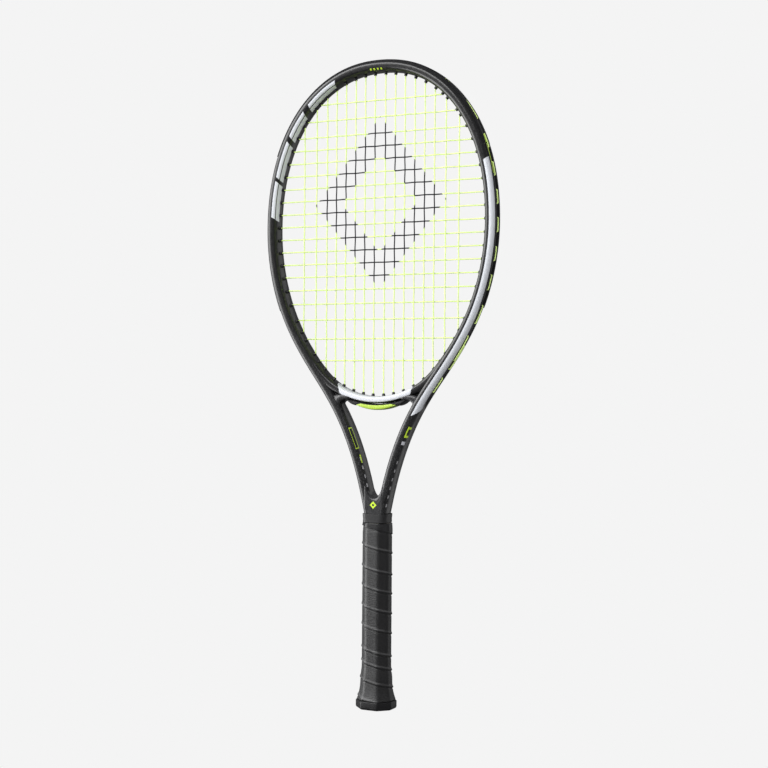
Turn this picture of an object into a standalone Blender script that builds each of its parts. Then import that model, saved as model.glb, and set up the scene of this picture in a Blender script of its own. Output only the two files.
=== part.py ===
"""A strung junior tennis racket, modelled as the pieces it is assembled from.

Frame: +Z runs up the racket from the butt to the tip, X runs across the face, and the face looks along
-Y. The origin is the middle of the butt end. All sizes are in metres.

A composite tube is bent into a hairpin: round the head, down both arms and into the handle. Everything
on the head is placed by the hairpin's centreline, as an arc length from the tip and an offset across it.
"""

import math

import bmesh
import bpy
from mathutils import Vector

# Overall
RACKET_LENGTH = 0.660
CLEARANCE = 0.0003

# Head oval, measured on the tube's centreline
HEAD_HALF_WIDTH = 0.1229
HEAD_UPPER_HEIGHT = 0.1613
HEAD_LOWER_HEIGHT = 0.1765
UPPER_SQUARENESS = 2.157
LOWER_SQUARENESS = 1.955
SAG_MIDDLE = 0.0034  # the hoop's foot runs lower than the oval
SAG_SIDE = 0.0048
SAG_WIDEST = 0.050
SAG_END = 0.096
HALVINGS = 50

# Composite tube
TUBE_WIDTH = 0.0110
TUBE_DEPTH = 0.0210
TUBE_WALL = 0.0012
TUBE_ROUNDING = 0.72
FACE_WALL = 0.00144
CAVITY_FLAT = 0.55
GROOVE_DEPTH = 0.00205
GROOVE_WIDTH = 0.0070
GROOVE_FLOOR_SHARE = 0.97
GROOVE_OVERRUN = 0.0020
GROOVE_FADE = 0.0200

# Arms, yoke and shank
ARM_START_DROP = 0.1032
ARM_START_PULL = 0.070
ARM_END_PULL = 0.118
ARM_END_SLOPE = 0.20
YOKE_HALF_SPREAD = 0.0068
YOKE_HEIGHT = 0.198
SHANK_HALF_SPREAD = 0.0054
SHANK_TOP = 0.172
SHANK_BOTTOM = 0.0130
SHANK_LEG_WIDTH = 0.0094
SHANK_DEPTH = 0.0152
WEB_DEPTH = 0.0130
WEB_CROTCH = 0.0178
WEB_CROTCH_RISE = 0.0110
WEB_CROTCH_POWER = 2.5

# Throat bridge
BRIDGE_WIDTH = 0.0074
BRIDGE_DEPTH = 0.0190
BRIDGE_FLARE = 0.0032
BRIDGE_FLARE_FROM = 0.026
BRIDGE_FLARE_TO = 0.060
BRIDGE_REACH = math.radians(45.0)
BRIDGE_SECTION_ANGLES = (14, 42, 70, 110, 138, 166)

# String bed
STRING_DIAMETER = 0.0013
MAIN_HALF_GAP = 0.0060
OUTER_MAIN_MARGIN = 0.0333
MAIN_GAPS = (1.0, 1.0, 1.0, 1.0, 0.985, 1.12, 1.29)
TOP_CROSS_MARGIN = 0.0316
BOTTOM_CROSS_MARGIN = 0.0368
CROSS_GAPS = (1.30, 1.27) + (1.0,) * 11 + (1.045, 1.10, 1.25, 1.50, 1.70)
WEAVE_HEIGHT = 0.0019
LOOP_SIDE_OFFSET = 0.00165
LOOP_CORNER = 0.0007
LOOP_LIFT = 0.00115
LOOP_SIDE_STEP = 0.0016
LOOP_POINT_STEP = 0.006
KNOT_DIAMETER = 0.0018
KNOT_LENGTH = 0.0030
TAIL_LENGTH = 0.0060
CROSS_START_SIDE = 1  # the top cross is tied off on the right
TAIL_SIDE_OFFSET = 0.00145

# Grommets, strips and bumper
BARREL_DIAMETER = 0.0034
BORE_DIAMETER = 0.0022
BARREL_PROUD = 0.0015
STRIP_BASE = 0.0011
GUARD_RIDGE_HEIGHT = 0.0014
SIDE_RIDGE_HEIGHT = 0.0012
FLANGE_THICKNESS = 0.0011
FLANGE_REACH = 0.0075
CHANNEL_WIDTH = 0.0053
CHANNEL_SLOPE = 0.0002
CHANNEL_LIP = 0.0011
GUARD_END_DROP = 0.0940
FLANGE_END_DROP = 0.2520
STRIP_END_DROP = 0.3400
STRIP_JOINT_GAP = 0.0012

# Throat strip and insert
THROAT_STRIP_OVERRUN = 0.0070
THROAT_STRIP_DEPTH = 0.0110
INSERT_HALF_LENGTH = 0.0215
INSERT_THICKNESS = 0.0032
INSERT_EDGE = 0.0007
INSERT_FOOT = 0.0024
INSERT_DEPTH = 0.0150
INSERT_TAPER = 0.86

# Handle
PALLET_WIDTH = 0.0263
PALLET_DEPTH = 0.0218
PALLET_BEVEL = 0.00677
PALLET_BOTTOM = 0.0115
SHANK_END_ROOM = 0.0005
HANDLE_TOP = 0.1886
GRIP_THICKNESS = 0.0018
GRIP_TAIL_THICKNESS = 0.0010
GRIP_TAIL_LENGTH = 0.0100
GRIP_PITCH = 0.0200
GRIP_BOTTOM = 0.0088
GRIP_TOP_GAP = 0.0002
GRIP_LAST_EDGE = 0.0010
SKIRT_FADE = 0.0150
TAPE_THICKNESS = 0.0005
TAPE_LENGTH = 0.0095

# Butt cap and trap door
CAP_RIM_WIDTH = 0.0400
CAP_RIM_DEPTH = 0.0355
CAP_RIM_HEIGHT = 0.0085
CAP_FLOOR = 0.0032
CAP_SKIRT_TOP = 0.0290
CAP_SKIRT_WALL = 0.0009
CAP_CORNER = 0.0012
CAP_STEP = 0.00002
CAP_FLARE_POWER = 2.2
DOOR_WIDTH = 0.0180
DOOR_DEPTH = 0.0150
DOOR_THICKNESS = 0.0026
DOOR_RECESS = 0.0004
DOOR_TAB_HEIGHT = 0.0045
DOOR_TAB_THICKNESS = 0.0012
DOOR_TAB_INSET = 0.0012
DOOR_TAB_HALF_SHARE = 0.18
DOOR_CORNER_SHARE = 0.28
DOOR_EDGE = 0.0004

# Staples, plugs and collar
STAPLE_WIRE = 0.0008
STAPLE_SPAN = 0.0070
STAPLE_LEG = 0.0034
STAPLE_HEIGHT = 0.0215
STAPLE_SINK = 0.0002
PLUG_LENGTH = 0.0140
PLUG_INSET = 0.0008
COLLAR_WALL = 0.0010
COLLAR_HEIGHT = 0.0090
COLLAR_ROOM = 0.0008
COLLAR_LIFT = 0.0030
COLLAR_LIP = 0.0012
COLLAR_LIP_SHARE = 0.4

# Mesh fineness
STATION_STEP = 0.0130
ARM_STATION_STEP = 0.0190
SHANK_STATION_STEP = 0.0400
STATION_MARGIN = 0.0010
PATH_SAMPLES = 700
MARCH_STEP = 0.0002
ROUND_SIDES = 6
OCTAGON_SIDES = 8

# How far a shape that cuts or joins reaches past the surface it crosses
CUTTER_REACH = 0.0040
CUTTER_OVERRUN = 0.0020
JOIN_SINK = 0.0005


# ---------------------------------------------------------------- scene and mesh helpers


def clear_scene():
    for item in list(bpy.data.objects):
        bpy.data.objects.remove(item, do_unlink=True)


def make_material(name, color, roughness, metallic=0.0):
    material = bpy.data.materials.new(name)
    material.use_nodes = True
    shader = material.node_tree.nodes["Principled BSDF"]
    shader.inputs["Base Color"].default_value = (*color, 1.0)
    shader.inputs["Roughness"].default_value = roughness
    shader.inputs["Metallic"].default_value = metallic
    return material


def make_object(name, points, faces, material=None):
    """One object from world points and faces, with its faces turned outwards."""
    mesh = bpy.data.meshes.new(name)
    mesh.from_pydata([tuple(point) for point in points], [], faces)
    shape = bmesh.new()
    shape.from_mesh(mesh)
    bmesh.ops.recalc_face_normals(shape, faces=shape.faces)
    shape.to_mesh(mesh)
    shape.free()
    item = bpy.data.objects.new(name, mesh)
    bpy.context.scene.collection.objects.link(item)
    if material:
        mesh.materials.append(material)
    return item


def as_cutter(item):
    item.hide_render = True
    item.display_type = "WIRE"
    return item


def add_boolean(item, other, operation, parts_cross=False):
    """A boolean with another object; parts_cross says that the other's own parts may cross."""
    modifier = item.modifiers.new(operation.title(), "BOOLEAN")
    modifier.operation = operation
    modifier.solver = "EXACT"
    modifier.use_self = parts_cross
    modifier.object = other


def shade_round(item, angle=35.0):
    item.data.shade_smooth()
    item.data.set_sharp_from_angle(angle=math.radians(angle))


def loft(rings):
    """Points and faces of a closed body through rings that have the same number of points."""
    count = len(rings[0])
    points = [point for ring in rings for point in ring]
    faces = []
    for row in range(len(rings) - 1):
        for column in range(count):
            after = (column + 1) % count
            low = row * count
            high = low + count
            faces.append((low + column, low + after, high + after, high + column))
    faces.append(tuple(range(count)))
    last = (len(rings) - 1) * count
    faces.append(tuple(range(last, last + count)))
    return points, faces


def merge_shapes(shapes):
    """Several closed shapes as one list of points and faces."""
    points = []
    faces = []
    for shape_points, shape_faces in shapes:
        start = len(points)
        points.extend(shape_points)
        faces.extend(tuple(start + index for index in face) for face in shape_faces)
    return points, faces


def box_shape(low, high):
    corners = ((low[0], low[1]), (high[0], low[1]), (high[0], high[1]), (low[0], high[1]))
    return loft([[(x, y, z) for x, y in corners] for z in (low[2], high[2])])


def smooth_step(value, start, end):
    share = min(1.0, max(0.0, (value - start) / (end - start)))
    return share * share * (3.0 - 2.0 * share)


def mix(first, second, share):
    return first + (second - first) * share


# ---------------------------------------------------------------- the hairpin's centreline

HEAD_MIDDLE = RACKET_LENGTH - TUBE_WIDTH / 2 - GUARD_RIDGE_HEIGHT - HEAD_UPPER_HEIGHT


def throat_sag(x):
    """How much lower than the oval the hoop's foot runs at distance x from the middle."""
    sag = mix(SAG_MIDDLE, SAG_SIDE, smooth_step(abs(x), 0.0, SAG_WIDEST))
    return sag * (1.0 - smooth_step(abs(x), SAG_WIDEST, SAG_END))


def oval_point(angle, inset=0.0):
    """A point (x, z) of the head's oval, moved inwards by inset; 90 degrees is the tip."""
    width = HEAD_HALF_WIDTH - inset
    upper = math.sin(angle) >= 0
    height = (HEAD_UPPER_HEIGHT if upper else HEAD_LOWER_HEIGHT) - inset
    power = 2.0 / (UPPER_SQUARENESS if upper else LOWER_SQUARENESS)
    x = width * math.copysign(abs(math.cos(angle)) ** power, math.cos(angle))
    z = height * math.copysign(abs(math.sin(angle)) ** power, math.sin(angle))
    return x, HEAD_MIDDLE + z - (0.0 if upper else throat_sag(x))


def oval_normal(angle):
    """The outward direction (x, z) of the oval at an angle."""
    step = 0.002
    before = oval_point(angle - step)
    after = oval_point(angle + step)
    normal = Vector((after[1] - before[1], before[0] - after[0]))
    return normal.normalized()


def oval_angle_at_height(z, inset):
    """The angle of the right-hand oval point at height z."""
    low, high = (0.0, math.pi / 2) if z >= HEAD_MIDDLE else (-math.pi / 2, 0.0)
    for _ in range(HALVINGS):
        middle = (low + high) / 2
        if oval_point(middle, inset)[1] < z:
            low = middle
        else:
            high = middle
    return (low + high) / 2


def oval_angle_at_width(x, inset, upper):
    """The angle of the right-hand oval point at distance x from the middle."""
    power = (UPPER_SQUARENESS if upper else LOWER_SQUARENESS) / 2.0
    angle = math.acos((x / (HEAD_HALF_WIDTH - inset)) ** power)
    return angle if upper else -angle


def bezier(start, start_handle, end_handle, end, count):
    points = []
    for step in range(1, count + 1):
        t = step / count
        blend = (1 - t) ** 3 * start + 3 * (1 - t) ** 2 * t * start_handle
        blend = blend + 3 * (1 - t) * t * t * end_handle + t**3 * end
        points.append(blend)
    return points


def right_half_points():
    """The centreline from the tip down the right side to the end of the shank."""
    start_angle = oval_angle_at_height(HEAD_MIDDLE - ARM_START_DROP, 0.0)
    quarter = math.pi / 2
    count = PATH_SAMPLES // 2
    angles = [quarter + (start_angle - quarter) * step / count for step in range(count + 1)]
    points = [Vector(oval_point(angle)) for angle in angles]
    leave = (points[-1] - points[-2]).normalized()
    yoke = Vector((YOKE_HALF_SPREAD, YOKE_HEIGHT))
    arrive = Vector((-ARM_END_SLOPE, -1.0)).normalized()
    arm_handles = points[-1] + leave * ARM_START_PULL, yoke - arrive * ARM_END_PULL
    points += bezier(points[-1], *arm_handles, yoke, PATH_SAMPLES // 3)
    shank = Vector((SHANK_HALF_SPREAD, SHANK_TOP))
    pull = (YOKE_HEIGHT - SHANK_TOP) / 3
    points += bezier(yoke, yoke + arrive * pull, shank + Vector((0.0, pull)), shank, 24)
    points.append(Vector((SHANK_HALF_SPREAD, SHANK_BOTTOM)))
    return points


HALF_POINTS = right_half_points()
HALF_LENGTHS = [0.0]
for previous, following in zip(HALF_POINTS, HALF_POINTS[1:]):
    HALF_LENGTHS.append(HALF_LENGTHS[-1] + (following - previous).length)
HALF_LENGTH = HALF_LENGTHS[-1]


def half_index(length):
    """The span of the right half that holds an arc length."""
    low = 0
    high = len(HALF_LENGTHS) - 1
    while high - low > 1:
        middle = (low + high) // 2
        if HALF_LENGTHS[middle] <= length:
            low = middle
        else:
            high = middle
    return low


def path_frame(length):
    """Centre and outward normal, both (x, z), at an arc length from the tip; the left side is negative."""
    side = -1.0 if length < 0 else 1.0
    distance = min(abs(length), HALF_LENGTH)
    index = half_index(distance)
    start = HALF_POINTS[index]
    end = HALF_POINTS[index + 1]
    share = (distance - HALF_LENGTHS[index]) / (HALF_LENGTHS[index + 1] - HALF_LENGTHS[index])
    centre = start.lerp(end, share)
    before = HALF_POINTS[max(0, index - 1)]
    after = HALF_POINTS[min(len(HALF_POINTS) - 1, index + 2)]
    if index == 0:
        before = Vector((-after.x, after.y))
    tangent = (after - before).normalized()
    return Vector((side * centre.x, centre.y)), Vector((-side * tangent.y, tangent.x))


def length_at_height(z):
    """Arc length from the tip to the point of the right half at height z."""
    for index in range(len(HALF_POINTS) - 1):
        upper = HALF_POINTS[index].y
        lower = HALF_POINTS[index + 1].y
        if upper >= z >= lower:
            share = (upper - z) / (upper - lower)
            return mix(HALF_LENGTHS[index], HALF_LENGTHS[index + 1], share)
    return HALF_LENGTH


GUARD_END = length_at_height(RACKET_LENGTH - GUARD_END_DROP)
FLANGE_END = length_at_height(RACKET_LENGTH - FLANGE_END_DROP)
STRIP_END = length_at_height(RACKET_LENGTH - STRIP_END_DROP)
ARM_END = length_at_height(YOKE_HEIGHT)
SHANK_START = length_at_height(SHANK_TOP)


def spaced(start, end, step):
    count = max(1, round((end - start) / step))
    return [start + (end - start) * index / count for index in range(count)]


def half_stations():
    """Arc lengths where every piece on the hairpin has a ring, so that nested pieces keep their gap."""
    limits = (0.0, GUARD_END, FLANGE_END, STRIP_END)
    stations = []
    for start, end in zip(limits, limits[1:]):
        stations += spaced(start, end, STATION_STEP)
    stations += spaced(STRIP_END, ARM_END, ARM_STATION_STEP)
    stations += spaced(ARM_END, SHANK_START, ARM_STATION_STEP / 2)
    stations += spaced(SHANK_START, HALF_LENGTH, SHANK_STATION_STEP)
    return stations + [HALF_LENGTH]


RIGHT_STATIONS = half_stations()
ALL_STATIONS = [-length for length in reversed(RIGHT_STATIONS[1:])] + RIGHT_STATIONS


def stations_between(start, end):
    """The shared stations from start to end, with both ends."""
    low = start + STATION_MARGIN
    high = end - STATION_MARGIN
    inner = [length for length in ALL_STATIONS if low < length < high]
    return [start] + inner + [end]


def placed_ring(length, section):
    """A section of (offset outwards, y) pairs placed across the hairpin at an arc length."""
    centre, normal = path_frame(length)
    return [(centre.x + normal.x * out, y, centre.y + normal.y * out) for out, y in section]


def sweep(lengths, section_at):
    return loft([placed_ring(length, section_at(length)) for length in lengths])


# ---------------------------------------------------------------- sections of the tube

GROOVE_EDGE = math.asin((GROOVE_WIDTH / TUBE_DEPTH) ** (1.0 / TUBE_ROUNDING))
SECTION_ANGLES = [GROOVE_EDGE] + [math.radians(angle) for angle in (40, 72, 108, 140, 163)]


def rounded(half_width, half_depth, angle):
    """A point of a rounded rectangle; angle 0 is outwards and 90 degrees is the front or back."""
    out = half_width * math.copysign(abs(math.cos(angle)) ** TUBE_ROUNDING, math.cos(angle))
    y = half_depth * math.copysign(abs(math.sin(angle)) ** TUBE_ROUNDING, math.sin(angle))
    return out, y


def tube_half_sizes(z):
    """Half the tube's width and depth at height z: slimmer where the legs run inside the handle."""
    share = smooth_step(z, SHANK_TOP, YOKE_HEIGHT)
    half_width = mix(SHANK_LEG_WIDTH, TUBE_WIDTH, share) / 2
    half_depth = mix(SHANK_DEPTH, TUBE_DEPTH, share) / 2
    return half_width, half_depth


def groove_share(length):
    start = STRIP_END + GROOVE_OVERRUN
    return 1.0 - smooth_step(abs(length), start, start + GROOVE_FADE)


def tube_section(length):
    """The outer skin of the hairpin, with the string groove along its outer side."""
    half_width, half_depth = tube_half_sizes(path_frame(length)[0].y)
    side = [rounded(half_width, half_depth, angle) for angle in SECTION_ANGLES]
    groove_bottom = side[0][0] - GROOVE_DEPTH * groove_share(length)
    corner = (groove_bottom, side[0][1] * GROOVE_FLOOR_SHARE)
    front = [corner] + side
    return front + [(out, -y) for out, y in reversed(front)]


def envelope_section(length):
    """All that lies from the tube's inner side outwards, grown by the clearance."""
    half_width, half_depth = tube_half_sizes(path_frame(length)[0].y)
    grown = half_width + CLEARANCE, half_depth + CLEARANCE
    inner_side = [rounded(*grown, angle) for angle in SECTION_ANGLES if angle > math.pi / 2]
    side = [(half_width + BRIDGE_WIDTH, grown[1]), (0.0, grown[1])] + inner_side
    return side + [(out, -y) for out, y in reversed(side)]


def cavity_half_sizes(z):
    half_width, half_depth = tube_half_sizes(z)
    return half_width - TUBE_WALL - GROOVE_DEPTH / 2, half_depth - FACE_WALL


def cavity_section(length, shrink=0.0):
    half_width, half_depth = cavity_half_sizes(path_frame(length)[0].y)
    half_width -= shrink
    half_depth -= shrink
    shift = -GROOVE_DEPTH / 2
    side = [(half_width, CAVITY_FLAT * half_depth), (CAVITY_FLAT * half_width, half_depth)]
    side += [(-out, y) for out, y in reversed(side)]
    return [(out + shift, y) for out, y in side] + [(out + shift, -y) for out, y in reversed(side)]


# ---------------------------------------------------------------- string positions and holes

TUBE_HALF_WIDTH = TUBE_WIDTH / 2
INNER_INSET = TUBE_HALF_WIDTH
BRIDGE_UNDER = BRIDGE_WIDTH - TUBE_HALF_WIDTH


def positions(start, end, gaps):
    total = sum(gaps)
    places = [start]
    for gap in gaps:
        places.append(places[-1] + (end - start) * gap / total)
    return places


MAIN_X = positions(MAIN_HALF_GAP, HEAD_HALF_WIDTH - OUTER_MAIN_MARGIN, MAIN_GAPS)
HEAD_TOP = HEAD_MIDDLE + HEAD_UPPER_HEIGHT
HEAD_BOTTOM = HEAD_MIDDLE - HEAD_LOWER_HEIGHT
CROSS_Z = positions(HEAD_TOP - TOP_CROSS_MARGIN, HEAD_BOTTOM + BOTTOM_CROSS_MARGIN, CROSS_GAPS)


def offset_from_hairpin(point):
    """How far a point (x, z) lies outside the centreline of the head and arms, and the arc length there."""
    best = None
    side = -1.0 if point.x < 0 else 1.0
    mirrored = Vector((abs(point.x), point.y))
    for index, centre in enumerate(HALF_POINTS):
        if HALF_LENGTHS[index] > ARM_END:
            break
        distance = (mirrored - centre).length_squared
        if best is None or distance < best[0]:
            best = (distance, index)
    length = side * HALF_LENGTHS[best[1]]
    centre, normal = path_frame(length)
    return (point - centre).dot(normal), length


def march_to_offset(start, direction, offset_at, target):
    """The distance along a line at which the offset first reaches the target."""
    distance = 0.0
    while offset_at(start + direction * distance) < target:
        distance += MARCH_STEP
    before = offset_at(start + direction * (distance - MARCH_STEP))
    after = offset_at(start + direction * distance)
    return distance - MARCH_STEP * (after - target) / (after - before)


def bridge_flare(x):
    return BRIDGE_FLARE * smooth_step(abs(x), BRIDGE_FLARE_FROM, BRIDGE_FLARE_TO)


def bridge_offset(point):
    """How far a point lies outside the head's oval, less the bridge's extra thickness there."""
    angle = math.atan2(point.y - HEAD_MIDDLE, point.x)
    for _ in range(6):
        centre = Vector(oval_point(angle))
        normal = oval_normal(angle)
        tangent = Vector((-normal.y, normal.x))
        angle += (point - centre).dot(tangent) / (point - Vector((0.0, HEAD_MIDDLE))).length
    centre = Vector(oval_point(angle))
    return (point - centre).dot(oval_normal(angle)) - bridge_flare(centre.x)


class Hole:
    """One string hole, square to the head's oval, from the inner side outwards."""

    def __init__(self, angle, in_bridge=False):
        self.normal = oval_normal(angle)
        self.mouth = Vector(oval_point(angle, INNER_INSET))
        self.in_bridge = in_bridge

    def offset(self, point):
        if self.in_bridge:
            return bridge_offset(point)
        return offset_from_hairpin(point)[0]

    def reach(self, target):
        return march_to_offset(self.mouth, self.normal, self.offset, target)

    def point(self, distance, y=0.0):
        place = self.mouth + self.normal * distance
        return Vector((place.x, y, place.y))


BRIDGE_TOP = oval_point(BRIDGE_REACH - math.pi / 2)[1] + TUBE_WIDTH


def mirrored_angle(angle, side):
    return angle if side > 0 else math.pi - angle


def opens_into_throat(x):
    """Whether a main's hole, with its barrel, leaves the bridge between the arms."""
    angle = oval_angle_at_width(x, INNER_INSET, False)
    centre = Vector(oval_point(angle))
    exit_point = centre + oval_normal(angle) * (BRIDGE_UNDER + bridge_flare(centre.x))
    gap = -TUBE_HALF_WIDTH - offset_from_hairpin(exit_point)[0]
    return gap > BARREL_DIAMETER / 2 + CLEARANCE


def count_bridge_mains():
    """How many mains on each side turn under the bridge: they turn there two by two."""
    count = sum(1 for x in MAIN_X if opens_into_throat(x))
    return count - count % 2


BRIDGE_MAINS = count_bridge_mains()


def main_hole(index, side, upper):
    """The hole of a main by its number from the middle, on the left (-1) or right (1) side."""
    angle = oval_angle_at_width(MAIN_X[index - 1], INNER_INSET, upper)
    if upper:
        return Hole(mirrored_angle(angle, side))
    return Hole(lower_angle(angle, side), index <= BRIDGE_MAINS)


def lower_angle(angle, side):
    return angle if side > 0 else -math.pi - angle


def cross_hole(z, side):
    angle = oval_angle_at_height(z, INNER_INSET)
    return Hole(mirrored_angle(angle, side)) if angle >= 0 else Hole(lower_angle(angle, side))


def main_holes(upper):
    """The holes of the mains at one end, by their number from the middle; the left ones are negative."""
    holes = {}
    for index in range(1, len(MAIN_X) + 1):
        for side in (-1, 1):
            holes[side * index] = main_hole(index, side, upper)
    return holes


TOP_HOLES = main_holes(True)
LOW_HOLES = main_holes(False)
SIDE_HOLES = {(row, side): cross_hole(z, side) for row, z in enumerate(CROSS_Z) for side in (-1, 1)}
ALL_HOLES = list(TOP_HOLES.values()) + list(LOW_HOLES.values()) + list(SIDE_HOLES.values())
HAIRPIN_HOLES = [hole for hole in ALL_HOLES if not hole.in_bridge]
BRIDGE_HOLES = [hole for hole in ALL_HOLES if hole.in_bridge]

GROOVE_FLOOR = rounded(TUBE_HALF_WIDTH, TUBE_DEPTH / 2, GROOVE_EDGE)[0] - GROOVE_DEPTH
STRIP_UNDER = GROOVE_FLOOR + CLEARANCE
STRIP_FACE = STRIP_UNDER + STRIP_BASE


def rod(start, end, diameter, sides=ROUND_SIDES, growth=0.0):
    """A prism between two points, with its flats the given diameter apart plus twice the growth."""
    axis = (end - start).normalized()
    across = Vector((0.0, 1.0, 0.0))
    third = axis.cross(across)
    radius = (diameter / 2 + growth) / math.cos(math.pi / sides)
    rings = []
    for centre in (start, end):
        ring = []
        for index in range(sides):
            angle = 2 * math.pi * (index + 0.5) / sides
            ring.append(centre + across * (radius * math.cos(angle)) + third * (radius * math.sin(angle)))
        rings.append(ring)
    return loft(rings)


def strip_middle(hole):
    under = BRIDGE_UNDER + CLEARANCE if hole.in_bridge else STRIP_UNDER
    return under + STRIP_BASE / 2


def hole_rods(holes, diameter, growth, before, beyond):
    """Prisms along holes, from before the mouth to beyond the middle of the strip's base."""
    shapes = []
    for hole in holes:
        start = hole.point(-before)
        end = hole.point(hole.reach(strip_middle(hole)) + beyond)
        shapes.append(rod(start, end, diameter, growth=growth))
    return merge_shapes(shapes)


def make_hole_cutter(name, holes):
    shape = hole_rods(holes, BARREL_DIAMETER, CLEARANCE, CUTTER_REACH, CUTTER_REACH)
    return as_cutter(make_object(name, *shape))


def make_bore_cutter(name, holes):
    shape = hole_rods(holes, BORE_DIAMETER, 0.0, CUTTER_REACH, CUTTER_REACH)
    return as_cutter(make_object(name, *shape))


def make_barrels(name, holes):
    shape = hole_rods(holes, BARREL_DIAMETER, 0.0, BARREL_PROUD, 0.0)
    return as_cutter(make_object(name, *shape))


# ---------------------------------------------------------------- frame


def web_outline():
    """The yoke web between the two legs, as (x, z) points."""
    crotch = YOKE_HEIGHT + WEB_CROTCH
    count = 6
    side = []
    for step in range(count + 1):
        z = mix(SHANK_BOTTOM, crotch + WEB_CROTCH_RISE, step / count)
        side.append((path_frame(length_at_height(z))[0].x, z))
    half_width = side[-1][0]
    top = []
    for step in range(1, 8):
        x = mix(half_width, -half_width, step / 8)
        share = abs(x) / half_width
        top.append((x, crotch + WEB_CROTCH_RISE * share**WEB_CROTCH_POWER))
    return side + top + [(-x, z) for x, z in reversed(side)]


def make_frame(material):
    frame = make_object("frame_hairpin", *sweep(ALL_STATIONS, tube_section), material)
    outline = web_outline()
    half = WEB_DEPTH / 2
    web_rings = [[(x, y, z) for x, z in outline] for y in (-half, half)]
    web = make_object("web_shape", *loft(web_rings))
    rings = [placed_ring(length, cavity_section(length)) for length in ALL_STATIONS]
    lowered = [[(x, y, z - CUTTER_OVERRUN) for x, y, z in ring] for ring in (rings[0], rings[-1])]
    cavity = make_object("cavity_shape", *loft([lowered[0]] + rings[1:-1] + [lowered[1]]))
    add_boolean(frame, as_cutter(web), "UNION")
    add_boolean(frame, as_cutter(cavity), "DIFFERENCE")
    add_boolean(frame, make_hole_cutter("hairpin_hole_shapes", HAIRPIN_HOLES), "DIFFERENCE", True)
    shade_round(frame)


def bridge_section(x):
    """The bridge's section: level with the tube inside the head, and thicker towards the arms."""
    half_width = (BRIDGE_WIDTH + bridge_flare(x)) / 2
    middle = -TUBE_HALF_WIDTH + half_width
    angles = [math.radians(angle) for angle in BRIDGE_SECTION_ANGLES]
    side = [rounded(half_width, BRIDGE_DEPTH / 2, angle) for angle in angles]
    side[0] = (half_width, side[0][1])
    side[-1] = (-half_width, side[-1][1])
    section = side + [(out, -y) for out, y in reversed(side)]
    return [(middle + out, y) for out, y in section]


def oval_ring(angle, section):
    centre = Vector(oval_point(angle))
    normal = oval_normal(angle)
    return [(centre.x + normal.x * out, y, centre.y + normal.y * out) for out, y in section]


def bridge_angles(reach, count):
    middle = -math.pi / 2
    return [middle + reach * (2 * step / count - 1) for step in range(count + 1)]


def passing_holes():
    """The holes that run through the bridge's ends on their way through the arms."""
    return [hole for hole in HAIRPIN_HOLES if hole.mouth.y < BRIDGE_TOP]


def make_envelope():
    return as_cutter(make_object("envelope_shape", *sweep(ALL_STATIONS, envelope_section)))


def make_bridge(material, envelope):
    rings = []
    for angle in bridge_angles(BRIDGE_REACH, 26):
        rings.append(oval_ring(angle, bridge_section(oval_point(angle)[0])))
    bridge = make_object("throat_bridge", *loft(rings), material)
    add_boolean(bridge, envelope, "DIFFERENCE")
    holes = BRIDGE_HOLES + passing_holes()
    add_boolean(bridge, make_hole_cutter("bridge_hole_shapes", holes), "DIFFERENCE", True)
    shade_round(bridge)


# ---------------------------------------------------------------- bumper guard and grommet strips


def flange_section(ridge_height):
    """A strip that fills the groove and wraps the tube's shoulders, with a channel for the strings."""
    groove_half = GROOVE_WIDTH / 2
    shoulder_edge = rounded(TUBE_HALF_WIDTH, TUBE_DEPTH / 2, GROOVE_EDGE)
    shoulder_end = rounded(TUBE_HALF_WIDTH, TUBE_DEPTH / 2, SECTION_ANGLES[1])
    along = Vector((shoulder_end[0] - shoulder_edge[0], shoulder_end[1] - shoulder_edge[1])).normalized()
    across = Vector((along.y, -along.x))
    foot = Vector(shoulder_edge) + across * CLEARANCE
    neck = foot + along * ((groove_half - CLEARANCE - foot.y) / along.y)
    toe = foot + along * ((FLANGE_REACH - foot.y) / along.y)
    cheek = toe + across * FLANGE_THICKNESS
    ridge = TUBE_HALF_WIDTH + ridge_height
    channel = CHANNEL_WIDTH / 2
    lip = channel + CHANNEL_LIP
    side = [(STRIP_FACE, channel), (ridge, channel + CHANNEL_SLOPE), (ridge, lip), tuple(cheek)]
    side += [tuple(toe), tuple(neck), (STRIP_UNDER, groove_half - CLEARANCE)]
    return side + [(out, -y) for out, y in reversed(side)]


def base_section():
    half = GROOVE_WIDTH / 2 - CLEARANCE
    return [(STRIP_FACE, half), (STRIP_UNDER, half), (STRIP_UNDER, -half), (STRIP_FACE, -half)]


def holes_between(start, end):
    """The holes whose outer ends lie between two arc lengths."""
    chosen = []
    for hole in HAIRPIN_HOLES:
        place = hole.mouth + hole.normal * hole.reach(STRIP_FACE)
        length = offset_from_hairpin(place)[1]
        if start < length < end:
            chosen.append(hole)
    return chosen


def finish_strip(strip, name, holes):
    add_boolean(strip, make_barrels(name + "_barrel_shapes", holes), "UNION", True)
    add_boolean(strip, make_bore_cutter(name + "_bore_shapes", holes), "DIFFERENCE", True)
    shade_round(strip)


def make_bumper_guard(material):
    lengths = stations_between(-GUARD_END, GUARD_END)
    shape = sweep(lengths, lambda length: flange_section(GUARD_RIDGE_HEIGHT))
    guard = make_object("bumper_guard", *shape, material)
    finish_strip(guard, "bumper_guard", holes_between(-GUARD_END, GUARD_END))


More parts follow.
